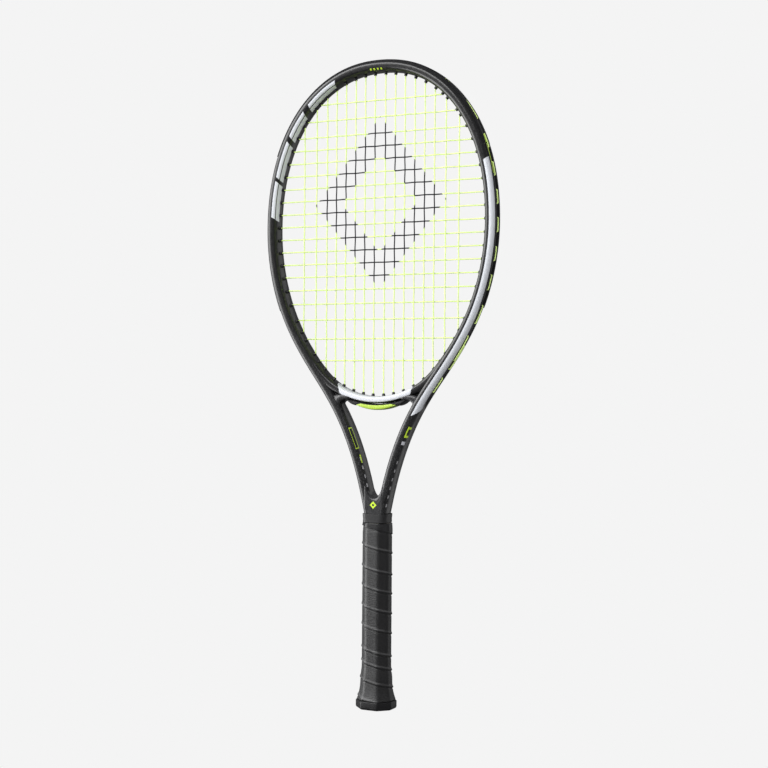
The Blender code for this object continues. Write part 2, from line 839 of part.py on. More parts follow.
def make_side_strip(name, side, material):
    start = GUARD_END + STRIP_JOINT_GAP
    base_span = sorted((side * start, side * STRIP_END))
    flange_span = sorted((side * start, side * FLANGE_END))
    base_shape = sweep(stations_between(*base_span), lambda length: base_section())
    strip = make_object(name, *base_shape, material)
    flange_lengths = stations_between(*flange_span)
    flange_shape = sweep(flange_lengths, lambda length: flange_section(SIDE_RIDGE_HEIGHT))
    flange = as_cutter(make_object(name + "_flange_shape", *flange_shape))
    add_boolean(strip, flange, "UNION")
    finish_strip(strip, name, holes_between(*base_span))


def crescent_section(x):
    """The insert's section: thickest at the middle of the throat and thin at both ends."""
    share = max(0.0, 1.0 - (x / INSERT_HALF_LENGTH) ** 2)
    low = INSERT_BASE
    high = low + mix(INSERT_EDGE, INSERT_THICKNESS, share)
    half = INSERT_DEPTH / 2
    slim = half * INSERT_TAPER
    return [(low, half), (low, -half), (high, -slim), (high, slim)]


def throat_angle(x):
    return -math.acos((abs(x) / HEAD_HALF_WIDTH) ** (LOWER_SQUARENESS / 2))


def throat_rings(half_length, count, section_at):
    rings = []
    for step in range(count + 1):
        x = mix(-half_length, half_length, step / count)
        angle = throat_angle(x)
        angle = angle if x >= 0 else -math.pi - angle
        rings.append(oval_ring(angle, section_at(x)))
    return rings


def make_throat_strip(material, envelope):
    """A thin black strip under the bridge, from arm to arm at most, with its barrels through the bridge."""
    half = THROAT_STRIP_DEPTH / 2
    base = BRIDGE_UNDER + CLEARANCE

    def section_at(x):
        low = base + bridge_flare(x)
        high = low + STRIP_BASE
        return [(low, half), (low, -half), (high, -half), (high, half)]

    reach = MAIN_X[len(BRIDGE_HOLES) // 2 - 1] + THROAT_STRIP_OVERRUN
    strip = make_object("throat_grommet_strip", *loft(throat_rings(reach, 16, section_at)), material)
    add_boolean(strip, envelope, "DIFFERENCE")
    passing = make_hole_cutter("passing_hole_shapes", passing_holes())
    add_boolean(strip, passing, "DIFFERENCE", True)
    finish_strip(strip, "throat_grommet_strip", BRIDGE_HOLES)


INSERT_CHANNEL = LOOP_LIFT + STRING_DIAMETER / 2 + CLEARANCE
INSERT_BASE = BRIDGE_UNDER + CLEARANCE + STRIP_BASE + INSERT_CHANNEL


def make_throat_insert(material):
    """The coloured crescent below the throat strip, on four feet, over the strings that turn there."""
    rings = throat_rings(INSERT_HALF_LENGTH, 14, crescent_section)
    insert = make_object("throat_insert", *loft(rings), material)
    shapes = []
    y = THROAT_STRIP_DEPTH / 2 - INSERT_FOOT / 2
    for side in (-1, 1):
        angle = throat_angle(INSERT_HALF_LENGTH - INSERT_FOOT)
        angle = angle if side > 0 else -math.pi - angle
        centre = Vector(oval_point(angle))
        normal = oval_normal(angle)
        low = centre + normal * (INSERT_BASE - INSERT_CHANNEL + CLEARANCE)
        high = centre + normal * (INSERT_BASE + INSERT_EDGE / 2)
        for across in (-y, y):
            start = Vector((low.x, across, low.y))
            end = Vector((high.x, across, high.y))
            shapes.append(rod(start, end, INSERT_FOOT))
    feet = as_cutter(make_object("insert_foot_shapes", *merge_shapes(shapes)))
    add_boolean(insert, feet, "UNION")
    shade_round(insert)


# ---------------------------------------------------------------- strings


def tube_along(points, radii, sides, turn=0.0):
    """A closed tube through points, its rings turned as little as possible from one to the next."""
    rings = []
    tangent = (points[1] - points[0]).normalized()
    across = tangent.orthogonal().normalized()
    for index, point in enumerate(points):
        before = (point - points[index - 1]).normalized() if index else tangent
        after = (points[index + 1] - point).normalized() if index < len(points) - 1 else before
        bisector = (before + after).normalized()
        across = (across - bisector * across.dot(bisector)).normalized()
        third = bisector.cross(across)
        bend = after - before
        stretch = 1.0 / max(0.35, bisector.dot(after))
        bend_axis = bend.normalized() if bend.length > 1e-6 else None
        ring = []
        for step in range(sides):
            angle = turn + 2 * math.pi * step / sides
            spoke = across * math.cos(angle) + third * math.sin(angle)
            if bend_axis:
                spoke = spoke + bend_axis * (spoke.dot(bend_axis) * (stretch - 1.0))
            ring.append(point + spoke * radii[index])
        rings.append(ring)
    return loft(rings)


def hairpin_surface_point(length, offset, y):
    centre, normal = path_frame(length)
    place = centre + normal * offset
    return Vector((place.x, y, place.y))


def hole_exit(hole):
    """The distance along a hole to its strip's outer face, and the arc length there."""
    if hole.in_bridge:
        return hole.reach(BRIDGE_UNDER + CLEARANCE + STRIP_BASE), None
    distance = hole.reach(STRIP_FACE)
    return distance, offset_from_hairpin(hole.mouth + hole.normal * distance)[1]


def loop_points(first, second, y):
    """The string's way outside the frame, from one hole to the next, beside the middle of the channel."""
    first_exit, first_length = hole_exit(first)
    second_exit, second_length = hole_exit(second)
    start = first.point(first_exit + LOOP_CORNER)
    finish = second.point(second_exit + LOOP_CORNER)
    if first.in_bridge:
        high_start = first.point(first_exit + LOOP_LIFT, y)
        high_finish = second.point(second_exit + LOOP_LIFT, y)
        along = (high_finish - high_start).normalized() * LOOP_SIDE_STEP
        return [start, high_start + along, high_finish - along, finish]
    sign = 1.0 if second_length > first_length else -1.0
    begin = first_length + sign * LOOP_SIDE_STEP
    end = second_length - sign * LOOP_SIDE_STEP
    count = max(1, round(abs(end - begin) / LOOP_POINT_STEP))
    middle = []
    for step in range(count + 1):
        middle.append(hairpin_surface_point(mix(begin, end, step / count), STRIP_FACE + LOOP_LIFT, y))
    return [start] + middle + [finish]


def tail_points(hole, direction, y):
    """A string's end: out of its hole and a short way along the channel, ending in a small knot."""
    distance, length = hole_exit(hole)
    knot_start = TAIL_LENGTH + LOOP_SIDE_OFFSET / 3
    points = [hole.point(distance + LOOP_CORNER)]
    for along in (LOOP_SIDE_STEP, TAIL_LENGTH, knot_start, TAIL_LENGTH + KNOT_LENGTH):
        points.append(hairpin_surface_point(length + direction * along, STRIP_FACE + LOOP_LIFT, y))
    return points


def tail_radii():
    thin = STRING_DIAMETER / 2
    thick = KNOT_DIAMETER / 2
    return [thin, thin, thin, thick, thick]


def mouth_point(hole, y=0.0):
    return hole.point(-BARREL_PROUD - STRING_DIAMETER / 2, y)


def make_main_string(material):
    """One string for all the mains: it starts outside one shoulder and ends outside the other."""
    order = [-index for index in range(len(MAIN_X), 0, -1)] + list(range(1, len(MAIN_X) + 1))
    tail = tail_points(TOP_HOLES[order[0]], 1.0, -TAIL_SIDE_OFFSET)
    points = list(reversed(tail))
    radii = list(reversed(tail_radii()))
    for place, index in enumerate(order):
        going_down = place % 2 == 0
        first, second = (TOP_HOLES, LOW_HOLES) if going_down else (LOW_HOLES, TOP_HOLES)
        points += [mouth_point(first[index]), mouth_point(second[index])]
        if place < len(order) - 1:
            loop = loop_points(second[index], second[order[place + 1]], -LOOP_SIDE_OFFSET)
            points += loop
        radii += [STRING_DIAMETER / 2] * (len(points) - len(radii))
    points += tail_points(TOP_HOLES[order[-1]], -1.0, -TAIL_SIDE_OFFSET)
    radii += tail_radii()
    string = make_object("main_string", *tube_along(points, radii, 5), material)
    shade_round(string, 80.0)


def crosses_main(index, z):
    """Whether a main is still in the open where the cross at height z passes it."""
    low = mouth_point(LOW_HOLES[index]).z + STRING_DIAMETER
    high = mouth_point(TOP_HOLES[index]).z - STRING_DIAMETER
    return low < z < high


def make_cross_string(material):
    """One string for all the crosses, over one main and under the next."""
    numbers = [-index for index in range(len(MAIN_X), 0, -1)] + list(range(1, len(MAIN_X) + 1))
    tail = tail_points(SIDE_HOLES[(0, CROSS_START_SIDE)], -CROSS_START_SIDE, TAIL_SIDE_OFFSET)
    points = list(reversed(tail))
    radii = list(reversed(tail_radii()))
    last = len(CROSS_Z) - 1
    for row, z in enumerate(CROSS_Z):
        side = -CROSS_START_SIDE if row % 2 == 0 else CROSS_START_SIDE
        start = SIDE_HOLES[(row, -side)]
        finish = SIDE_HOLES[(row, side)]
        points.append(mouth_point(start))
        for place, index in list(enumerate(numbers))[::side]:
            if crosses_main(index, z):
                x = math.copysign(MAIN_X[abs(index) - 1], index)
                height = WEAVE_HEIGHT if (place + row) % 2 == 0 else -WEAVE_HEIGHT
                points.append(Vector((x, height, z)))
        points.append(mouth_point(finish))
        if row < last:
            points += loop_points(finish, SIDE_HOLES[(row + 1, side)], LOOP_SIDE_OFFSET)
        radii += [STRING_DIAMETER / 2] * (len(points) - len(radii))
    points += tail_points(SIDE_HOLES[(last, side)], -side, TAIL_SIDE_OFFSET)
    radii += tail_radii()
    string = make_object("cross_string", *tube_along(points, radii, 4), material)
    shade_round(string, 80.0)


# ---------------------------------------------------------------- handle

PALLET_SIZE = (PALLET_WIDTH / 2, PALLET_DEPTH / 2, PALLET_BEVEL)
BEVEL_SHRINK = 2.0 - math.sqrt(2.0)


def grown_octagon(size, growth):
    """Half width, half depth and corner cut of an octagon moved outwards by growth."""
    return size[0] + growth, size[1] + growth, size[2] + growth * BEVEL_SHRINK


def octagon(size):
    """The corners (x, y) of an octagon, in order round it from the right side."""
    half_x, half_y, cut = size
    quarter = [(half_x, half_y - cut), (half_x - cut, half_y)]
    right = [(half_x, -(half_y - cut))]
    left = [(-x, y) for x, y in reversed(quarter)]
    lower = [(-half_x, -(half_y - cut)), (-(half_x - cut), -half_y), (half_x - cut, -half_y)]
    return quarter + left + lower + right


def octagon_ring(size, z):
    return [(x, y, z) for x, y in octagon(size)]


def shaft_outline(z, growth_x, growth_y):
    """The outline (x, y) round both legs of the hairpin at height z, grown by the given amounts."""
    half_width, half_depth = tube_half_sizes(z)
    spread = path_frame(length_at_height(z))[0].x
    angles = SECTION_ANGLES[:3]
    side = []
    for angle in angles:
        out, y = rounded(half_width + growth_x, half_depth + growth_y, angle)
        side.append((spread + out, y))
    right = [(x, -y) for x, y in reversed(side)] + side
    return right + [(-x, -y) for x, y in right]


def room_ring(z):
    """The hollow of the handle shells: both legs of the shank, with room round them."""
    return [(x, y, z) for x, y in shaft_outline(z, CLEARANCE, CLEARANCE)]


def shell_room_shape():
    heights = [SHANK_BOTTOM + SHANK_END_ROOM, SHANK_TOP]
    heights += [mix(SHANK_TOP, HANDLE_TOP, step / 5) for step in range(1, 6)]
    rings = [room_ring(z) for z in heights]
    below = [(x, y, PALLET_BOTTOM - CUTTER_OVERRUN) for x, y, z in rings[0]]
    above = [(x, y, HANDLE_TOP + CUTTER_OVERRUN) for x, y, z in rings[-1]]
    return loft([below] + rings + [above])


def make_pallets(material, staple_room):
    """Two handle shells that close round the shank from the front and the back."""
    room = as_cutter(make_object("shell_room_shape", *shell_room_shape()))
    half_x, half_y, cut = PALLET_SIZE
    gap = CLEARANCE / 2
    for name, side in (("handle_shell_front", -1), ("handle_shell_back", 1)):
        outline = [(half_x, gap), (half_x, half_y - cut), (half_x - cut, half_y)]
        outline += [(-x, y) for x, y in reversed(outline)]
        rings = [[(x, side * y, z) for x, y in outline] for z in (PALLET_BOTTOM, HANDLE_TOP)]
        shell = make_object(name, *loft(rings), material)
        add_boolean(shell, room, "DIFFERENCE")
        add_boolean(shell, staple_room, "DIFFERENCE")


def make_shank_plugs(material):
    """Foam plugs that close the open lower ends of the tube."""
    for name, side in (("shank_plug_left", -1.0), ("shank_plug_right", 1.0)):
        length = side * HALF_LENGTH
        section = cavity_section(length, CLEARANCE)
        centre, normal = path_frame(length)
        low = SHANK_BOTTOM + PLUG_INSET
        rings = []
        for z in (low, low + PLUG_LENGTH):
            rings.append([(centre.x + normal.x * out, y, z) for out, y in section])
        make_object(name, *loft(rings), material)


SKIRT_INNER = grown_octagon(PALLET_SIZE, CLEARANCE)
SKIRT_TOP_SIZE = grown_octagon(SKIRT_INNER, CAP_SKIRT_WALL)
RIM_BEVEL = PALLET_BEVEL + (CAP_RIM_WIDTH - PALLET_WIDTH) / 2 * BEVEL_SHRINK
RIM_SIZE = (CAP_RIM_WIDTH / 2, CAP_RIM_DEPTH / 2, RIM_BEVEL)
SKIRT_FOOT_SIZE = grown_octagon(RIM_SIZE, -GRIP_THICKNESS - CLEARANCE)


def mix_sizes(first, second, share):
    return tuple(mix(a, b, share) for a, b in zip(first, second))


def skirt_size(z):
    """The cap's skirt under the grip, flaring out towards the rim."""
    share = min(1.0, max(0.0, (CAP_SKIRT_TOP - z) / (CAP_SKIRT_TOP - CAP_RIM_HEIGHT)))
    return mix_sizes(SKIRT_TOP_SIZE, SKIRT_FOOT_SIZE, share**CAP_FLARE_POWER)


def staple_shapes(side, growth, outward):
    """A wire staple that lies on the cap's skirt, with two legs into the handle shells."""
    face = skirt_size(STAPLE_HEIGHT + STAPLE_WIRE)[0] - STAPLE_WIRE - STAPLE_SINK
    half_wire = STAPLE_WIRE / 2 + growth
    half_span = STAPLE_SPAN / 2 + growth
    crown_low = face - growth
    crown_high = face + STAPLE_WIRE + growth + outward
    tip = face - STAPLE_LEG - growth
    boxes = [(crown_low, -half_span, crown_high, half_span)]
    for y in (-STAPLE_SPAN / 2 + STAPLE_WIRE / 2, STAPLE_SPAN / 2 - STAPLE_WIRE / 2):
        boxes.append((tip, y - half_wire, crown_low + STAPLE_WIRE / 2, y + half_wire))
    shapes = []
    for low_x, low_y, high_x, high_y in boxes:
        ends = sorted((side * low_x, side * high_x))
        low = (ends[0], low_y, STAPLE_HEIGHT - half_wire)
        high = (ends[1], high_y, STAPLE_HEIGHT + half_wire)
        shapes.append(box_shape(low, high))
    return shapes


def make_staples(material):
    for name, side in (("cap_staple_left", -1.0), ("cap_staple_right", 1.0)):
        crown, *legs = staple_shapes(side, 0.0, 0.0)
        staple = make_object(name, *crown, material)
        add_boolean(staple, as_cutter(make_object(name + "_leg_shapes", *merge_shapes(legs))), "UNION")


def make_staple_room():
    crowns = []
    legs = []
    for side in (-1.0, 1.0):
        crown, *pair = staple_shapes(side, CLEARANCE, CUTTER_REACH)
        crowns.append(crown)
        legs += pair
    room = make_object("staple_room_shapes", *merge_shapes(crowns))
    add_boolean(room, as_cutter(make_object("staple_leg_room_shapes", *merge_shapes(legs))), "UNION")
    return as_cutter(room)


def door_size(growth):
    cut = DOOR_DEPTH * DOOR_CORNER_SHARE
    return grown_octagon((DOOR_WIDTH / 2, DOOR_DEPTH / 2, cut), growth)


def make_butt_cap(material, staple_room):
    """A flared cap: floor with the door opening, rim, and a skirt round the handle shells."""
    corner = grown_octagon(RIM_SIZE, -CAP_CORNER)
    rings = [octagon_ring(corner, 0.0), octagon_ring(RIM_SIZE, CAP_CORNER)]
    rings.append(octagon_ring(RIM_SIZE, CAP_RIM_HEIGHT))
    count = 4
    for step in range(count + 1):
        z = mix(CAP_RIM_HEIGHT, CAP_SKIRT_TOP, step / count)
        rings.append(octagon_ring(skirt_size(z), z if step else z + CAP_STEP))
    cap = make_object("butt_cap", *loft(rings), material)
    heights = (CAP_FLOOR, CAP_SKIRT_TOP + CUTTER_OVERRUN)
    pocket_rings = [octagon_ring(SKIRT_INNER, z) for z in heights]
    pocket = make_object("cap_pocket_shape", *loft(pocket_rings))
    ends = (-CUTTER_OVERRUN, CAP_FLOOR + CUTTER_OVERRUN)
    opening_rings = [octagon_ring(door_size(CLEARANCE), z) for z in ends]
    opening = make_object("cap_opening_shape", *loft(opening_rings))
    add_boolean(cap, as_cutter(pocket), "DIFFERENCE")
    add_boolean(cap, as_cutter(opening), "DIFFERENCE")
    add_boolean(cap, staple_room, "DIFFERENCE")


def make_trap_door(material):
    """The small door in the butt, with two snap tabs that stand up inside the cap."""
    low = DOOR_RECESS
    sizes = (door_size(-DOOR_EDGE), door_size(0.0), door_size(0.0))
    heights = (low, low + DOOR_EDGE, low + DOOR_THICKNESS)
    rings = [octagon_ring(size, z) for size, z in zip(sizes, heights)]
    door = make_object("trap_door", *loft(rings), material)
    tabs = []
    half_y = DOOR_DEPTH * DOOR_TAB_HALF_SHARE
    base = low + DOOR_THICKNESS - JOIN_SINK
    for side in (-1.0, 1.0):
        outer = side * (DOOR_WIDTH / 2 - DOOR_TAB_INSET)
        inner = outer - side * DOOR_TAB_THICKNESS
        ends = sorted((outer, inner))
        tabs.append(box_shape((ends[0], -half_y, base), (ends[1], half_y, base + DOOR_TAB_HEIGHT)))
    add_boolean(door, as_cutter(make_object("door_tab_shapes", *merge_shapes(tabs))), "UNION")


def grip_inner_size(z):
    """What the grip lies on: the cap's skirt at the bottom, the handle shells above it."""
    if z <= CAP_SKIRT_TOP:
        return grown_octagon(skirt_size(z), CLEARANCE)
    share = smooth_step(z, CAP_SKIRT_TOP, CAP_SKIRT_TOP + SKIRT_FADE)
    skirt = grown_octagon(SKIRT_TOP_SIZE, CLEARANCE)
    return mix_sizes(skirt, grown_octagon(PALLET_SIZE, CLEARANCE), share)


def grip_thickness(z):
    """Full thickness up the handle, thinning evenly to the tail under the finishing tape."""
    share = max(0.0, (z - HANDLE_TOP + GRIP_TAIL_LENGTH) / GRIP_TAIL_LENGTH)
    return mix(GRIP_THICKNESS, GRIP_TAIL_THICKNESS, share)


def make_grip(material):
    """One strip wound up the handle, each turn butting on the one below with a fine gap."""
    top = HANDLE_TOP - GRIP_TOP_GAP
    strip = GRIP_PITCH - CLEARANCE
    turns = (top - GRIP_LAST_EDGE - GRIP_BOTTOM) / GRIP_PITCH + 1.0
    rings = []
    for step in range(1, math.floor(OCTAGON_SIDES * turns) + 1):
        rise = GRIP_BOTTOM + (step / OCTAGON_SIDES - 1.0) * GRIP_PITCH
        low = max(rise, GRIP_BOTTOM)
        high = min(rise + strip, top)
        corner = step % OCTAGON_SIDES
        heights = [mix(low, high, share) for share in (0.0, 0.5, 1.0)]
        inner = [(*octagon(grip_inner_size(z))[corner], z) for z in heights]
        outer = []
        for z in reversed(heights):
            size = grown_octagon(grip_inner_size(z), grip_thickness(z))
            outer.append((*octagon(size)[corner], z))
        rings.append(inner + outer)
    make_object("grip_wrap", *loft(rings), material)


def ring_body(name, inner_rings, outer_rings, material):
    """A ring with a hole through it, from matching inner and outer rings."""
    loops = outer_rings + list(reversed(inner_rings))
    count = len(loops[0])
    points = [point for ring in loops for point in ring]
    faces = []
    for row in range(len(loops)):
        low = row * count
        high = ((row + 1) % len(loops)) * count
        for column in range(count):
            after = (column + 1) % count
            faces.append((low + column, low + after, high + after, high + column))
    return make_object(name, points, faces, material)


def make_finishing_tape(material):
    """The band of tape that holds the grip's tail at the top of the handle."""
    low = HANDLE_TOP - TAPE_LENGTH
    high = HANDLE_TOP
    inner_rings = []
    outer_rings = []
    for z in (low, high):
        size = grown_octagon(grip_inner_size(z), grip_thickness(z) + CLEARANCE)
        inner_rings.append(octagon_ring(size, z))
        outer_rings.append(octagon_ring(grown_octagon(size, TAPE_THICKNESS), z))
    ring_body("finishing_tape", inner_rings, outer_rings, material)


def collar_ring(growth, z):
    """The collar's outline: that of the shaft at the top of its travel, with room to slide."""
    highest = HANDLE_TOP + CLEARANCE + COLLAR_HEIGHT + COLLAR_LIFT
    return [(x, y, z) for x, y in shaft_outline(highest, CLEARANCE + growth, COLLAR_ROOM / 2 + growth)]


def make_collar(material):
    """The rubber ring above the grip; it can be pushed a little way up the shaft."""
    low = HANDLE_TOP + CLEARANCE
    high = low + COLLAR_HEIGHT
    inner_rings = [collar_ring(0.0, z) for z in (low, high)]
    outer_rings = [collar_ring(COLLAR_WALL, low), collar_ring(COLLAR_WALL, high - COLLAR_LIP)]
    outer_rings.append(collar_ring(COLLAR_WALL * COLLAR_LIP_SHARE, high))
    collar = ring_body("rubber_collar", inner_rings, outer_rings, material)
    shade_round(collar)


# ---------------------------------------------------------------- build


def build():
    clear_scene()
    paint = make_material("frame_paint", (0.035, 0.035, 0.037), 0.32)
    bridge_paint = make_material("bridge_paint", (0.62, 0.63, 0.66), 0.35)
    nylon = make_material("black_nylon", (0.012, 0.012, 0.013), 0.42)
    lime = make_material("lime_plastic", (0.48, 0.68, 0.07), 0.40)
    string = make_material("string_polyester", (0.72, 0.86, 0.25), 0.35)
    foam = make_material("handle_foam", (0.30, 0.28, 0.24), 0.85)
    cap_plastic = make_material("cap_plastic", (0.014, 0.014, 0.015), 0.45)
    steel = make_material("staple_steel", (0.62, 0.62, 0.62), 0.30, 1.0)
    grip = make_material("grip_polyurethane", (0.060, 0.060, 0.062), 0.55)
    tape = make_material("finishing_vinyl", (0.020, 0.020, 0.021), 0.35)
    rubber = make_material("collar_rubber", (0.035, 0.035, 0.036), 0.50)

    make_frame(paint)
    envelope = make_envelope()
    make_bridge(bridge_paint, envelope)
    make_bumper_guard(nylon)
    make_side_strip("grommet_strip_left", -1.0, nylon)
    make_side_strip("grommet_strip_right", 1.0, nylon)
    make_throat_strip(nylon, envelope)
    make_throat_insert(lime)
    make_main_string(string)
    make_cross_string(string)
    staple_room = make_staple_room()
    make_pallets(foam, staple_room)
    make_shank_plugs(foam)
    make_butt_cap(cap_plastic, staple_room)
    make_trap_door(cap_plastic)
    make_staples(steel)
    make_grip(grip)
    make_finishing_tape(tape)
    make_collar(rubber)


build()
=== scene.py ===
"""The looks of the tennis racket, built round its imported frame.

Everything is in metres in the frame's axes: +Z up the racket, X across the face, the front towards -Y.
Most pieces follow the hairpin's centreline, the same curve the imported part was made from: a place on it
is an arc length from the tip (negative on the left) and an offset outwards across it.
"""

import math
from bisect import bisect_right

import bmesh
import bpy
from mathutils import Matrix, Vector


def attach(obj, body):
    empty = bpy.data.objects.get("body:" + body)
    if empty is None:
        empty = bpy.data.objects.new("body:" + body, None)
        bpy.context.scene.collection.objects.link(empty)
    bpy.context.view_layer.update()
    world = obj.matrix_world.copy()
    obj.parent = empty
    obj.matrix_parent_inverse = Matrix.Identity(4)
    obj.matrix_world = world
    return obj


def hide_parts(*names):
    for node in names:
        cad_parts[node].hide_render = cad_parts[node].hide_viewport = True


# ---------------------------------------------------------------- dimensions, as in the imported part

RACKET_LENGTH = 0.660
HEAD_HALF_WIDTH = 0.1229
HEAD_UPPER_HEIGHT = 0.1613
HEAD_LOWER_HEIGHT = 0.1765
UPPER_SQUARENESS = 2.157
LOWER_SQUARENESS = 1.955
SAG_MIDDLE = 0.0034
SAG_SIDE = 0.0048
SAG_WIDEST = 0.050
SAG_END = 0.096
HALVINGS = 50
TUBE_WIDTH = 0.0110
TUBE_DEPTH = 0.0210
TUBE_ROUNDING = 0.72
ARM_START_DROP = 0.1032
ARM_START_PULL = 0.070
ARM_END_PULL = 0.118
ARM_END_SLOPE = 0.20
YOKE_HALF_SPREAD = 0.0068
YOKE_HEIGHT = 0.198
SHANK_HALF_SPREAD = 0.0054
SHANK_TOP = 0.172
SHANK_BOTTOM = 0.0130
SHANK_LEG_WIDTH = 0.0094
SHANK_DEPTH = 0.0152
WEB_CROTCH = 0.0178
BRIDGE_WIDTH = 0.0074
BRIDGE_DEPTH = 0.0190
BRIDGE_FLARE = 0.0032
BRIDGE_FLARE_FROM = 0.026
BRIDGE_FLARE_TO = 0.060
BRIDGE_REACH = math.radians(45.0)
STRING_DIAMETER = 0.0013
MAIN_HALF_GAP = 0.0060
OUTER_MAIN_MARGIN = 0.0333
MAIN_GAPS = (1.0, 1.0, 1.0, 1.0, 0.985, 1.12, 1.29)
TOP_CROSS_MARGIN = 0.0316
BOTTOM_CROSS_MARGIN = 0.0368
CROSS_GAPS = (1.30, 1.27) + (1.0,) * 11 + (1.045, 1.10, 1.25, 1.50, 1.70)
BRIDGE_MAINS = 4
BARREL_DIAMETER = 0.0034
BARREL_PROUD = 0.0025
GUARD_RIDGE_HEIGHT = 0.0014
SIDE_RIDGE_HEIGHT = 0.00105
FLANGE_THICKNESS = 0.0011
GUARD_REACH = 0.0075
SIDE_REACH = 0.0052
CHANNEL_WIDTH = 0.0053
GUARD_END_DROP = 0.0940
FLANGE_END_DROP = 0.2520
STRIP_END_DROP = 0.3400
STRIP_JOINT_GAP = 0.0012
INSERT_HALF_LENGTH = 0.0215
INSERT_THICKNESS = 0.0032
INSERT_EDGE = 0.0007
INSERT_DEPTH = 0.0150
THROAT_STRIP_HALF_LENGTH = 0.0469
THROAT_STRIP_DEPTH = 0.0110
GROOVE_DEPTH = 0.00205
STRIP_BASE = 0.0011
CLEARANCE = 0.0003
PALLET_SIZE = (0.01315, 0.0109, 0.00677)
HANDLE_TOP = 0.1886
GRIP_THICKNESS = 0.0018
GRIP_TAIL_THICKNESS = 0.0010
GRIP_TAIL_LENGTH = 0.0100
GRIP_BOTTOM = 0.0088
TAPE_LENGTH = 0.0095
CAP_RIM_HEIGHT = 0.0085
CAP_SKIRT_TOP = 0.0290
COLLAR_HEIGHT = 0.0090
COLLAR_LIFT = 0.0030
COLLAR_ROOM = 0.0007

HALF_WIDTH = TUBE_WIDTH / 2
HALF_DEPTH = TUBE_DEPTH / 2
HEAD_MIDDLE = RACKET_LENGTH - HALF_WIDTH - GUARD_RIDGE_HEIGHT - HEAD_UPPER_HEIGHT


def mix(first, second, share):
    return first + (second - first) * share


def smooth_step(value, start, end):
    share = min(1.0, max(0.0, (value - start) / (end - start)))
    return share * share * (3.0 - 2.0 * share)


# ---------------------------------------------------------------- the hairpin's centreline


def throat_sag(x):
    """How much lower than the oval the hoop's foot runs at distance x from the middle."""
    sag = mix(SAG_MIDDLE, SAG_SIDE, smooth_step(abs(x), 0.0, SAG_WIDEST))
    return sag * (1.0 - smooth_step(abs(x), SAG_WIDEST, SAG_END))


def oval_point(angle, inset=0.0):
    """A point (x, z) of the head's oval, moved inwards by inset; 90 degrees is the tip."""
    upper = math.sin(angle) >= 0
    width = HEAD_HALF_WIDTH - inset
    height = (HEAD_UPPER_HEIGHT if upper else HEAD_LOWER_HEIGHT) - inset
    power = 2.0 / (UPPER_SQUARENESS if upper else LOWER_SQUARENESS)
    x = width * math.copysign(abs(math.cos(angle)) ** power, math.cos(angle))
    z = height * math.copysign(abs(math.sin(angle)) ** power, math.sin(angle))
    return x, HEAD_MIDDLE + z - (0.0 if upper else throat_sag(x))


def oval_normal(angle):
    step = 0.002
    before = oval_point(angle - step)
    after = oval_point(angle + step)
    return Vector((after[1] - before[1], before[0] - after[0])).normalized()


def oval_angle_at_height(z, inset):
    low, high = (0.0, math.pi / 2) if z >= HEAD_MIDDLE else (-math.pi / 2, 0.0)
    for _ in range(HALVINGS):
        middle = (low + high) / 2
        if oval_point(middle, inset)[1] < z:
            low = middle
        else:
            high = middle
    return (low + high) / 2


def oval_angle_at_width(x, inset, upper):
    power = (UPPER_SQUARENESS if upper else LOWER_SQUARENESS) / 2.0
    angle = math.acos((x / (HEAD_HALF_WIDTH - inset)) ** power)
    return angle if upper else -angle


def bezier(points, count):
    start, first, second, end = points
    made = []
    for step in range(1, count + 1):
        t = step / count
        place = (1 - t) ** 3 * start + 3 * (1 - t) ** 2 * t * first
        made.append(place + 3 * (1 - t) * t * t * second + t**3 * end)
    return made


def right_half_points():
    """The centreline from the tip down the right side to the end of the shank."""
    start_angle = oval_angle_at_height(HEAD_MIDDLE - ARM_START_DROP, 0.0)
    quarter = math.pi / 2
    angles = [mix(quarter, start_angle, step / 500) for step in range(501)]
    points = [Vector(oval_point(angle)) for angle in angles]
    leave = (points[-1] - points[-2]).normalized()
    yoke = Vector((YOKE_HALF_SPREAD, YOKE_HEIGHT))
    arrive = Vector((-ARM_END_SLOPE, -1.0)).normalized()
    first = points[-1] + leave * ARM_START_PULL
    points += bezier((points[-1], first, yoke - arrive * ARM_END_PULL, yoke), 300)
    shank = Vector((SHANK_HALF_SPREAD, SHANK_TOP))
    pull = (YOKE_HEIGHT - SHANK_TOP) / 3
    points += bezier((yoke, yoke + arrive * pull, shank + Vector((0.0, pull)), shank), 24)
    points.append(Vector((SHANK_HALF_SPREAD, SHANK_BOTTOM)))
    return points


HALF_POINTS = right_half_points()
HALF_LENGTHS = [0.0]
for previous, following in zip(HALF_POINTS, HALF_POINTS[1:]):
    HALF_LENGTHS.append(HALF_LENGTHS[-1] + (following - previous).length)
HALF_LENGTH = HALF_LENGTHS[-1]


def path_frame(length):
    """Centre and outward normal, both (x, z), at an arc length from the tip."""
    side = -1.0 if length < 0 else 1.0
    distance = min(abs(length), HALF_LENGTH)
    index = min(bisect_right(HALF_LENGTHS, distance) - 1, len(HALF_POINTS) - 2)
    span = HALF_LENGTHS[index + 1] - HALF_LENGTHS[index]
    centre = HALF_POINTS[index].lerp(HALF_POINTS[index + 1], (distance - HALF_LENGTHS[index]) / span)
    after = HALF_POINTS[min(len(HALF_POINTS) - 1, index + 2)]
    before = HALF_POINTS[index - 1] if index else Vector((-after.x, after.y))
    tangent = (after - before).normalized()
    return Vector((side * centre.x, centre.y)), Vector((-side * tangent.y, tangent.x))


def length_at_height(z):
    """Arc length from the tip to the point of the right half at height z."""
    for index in range(len(HALF_POINTS) - 1):
        upper, lower = HALF_POINTS[index].y, HALF_POINTS[index + 1].y
        if upper >= z >= lower:
            return mix(HALF_LENGTHS[index], HALF_LENGTHS[index + 1], (upper - z) / (upper - lower))
    return HALF_LENGTH


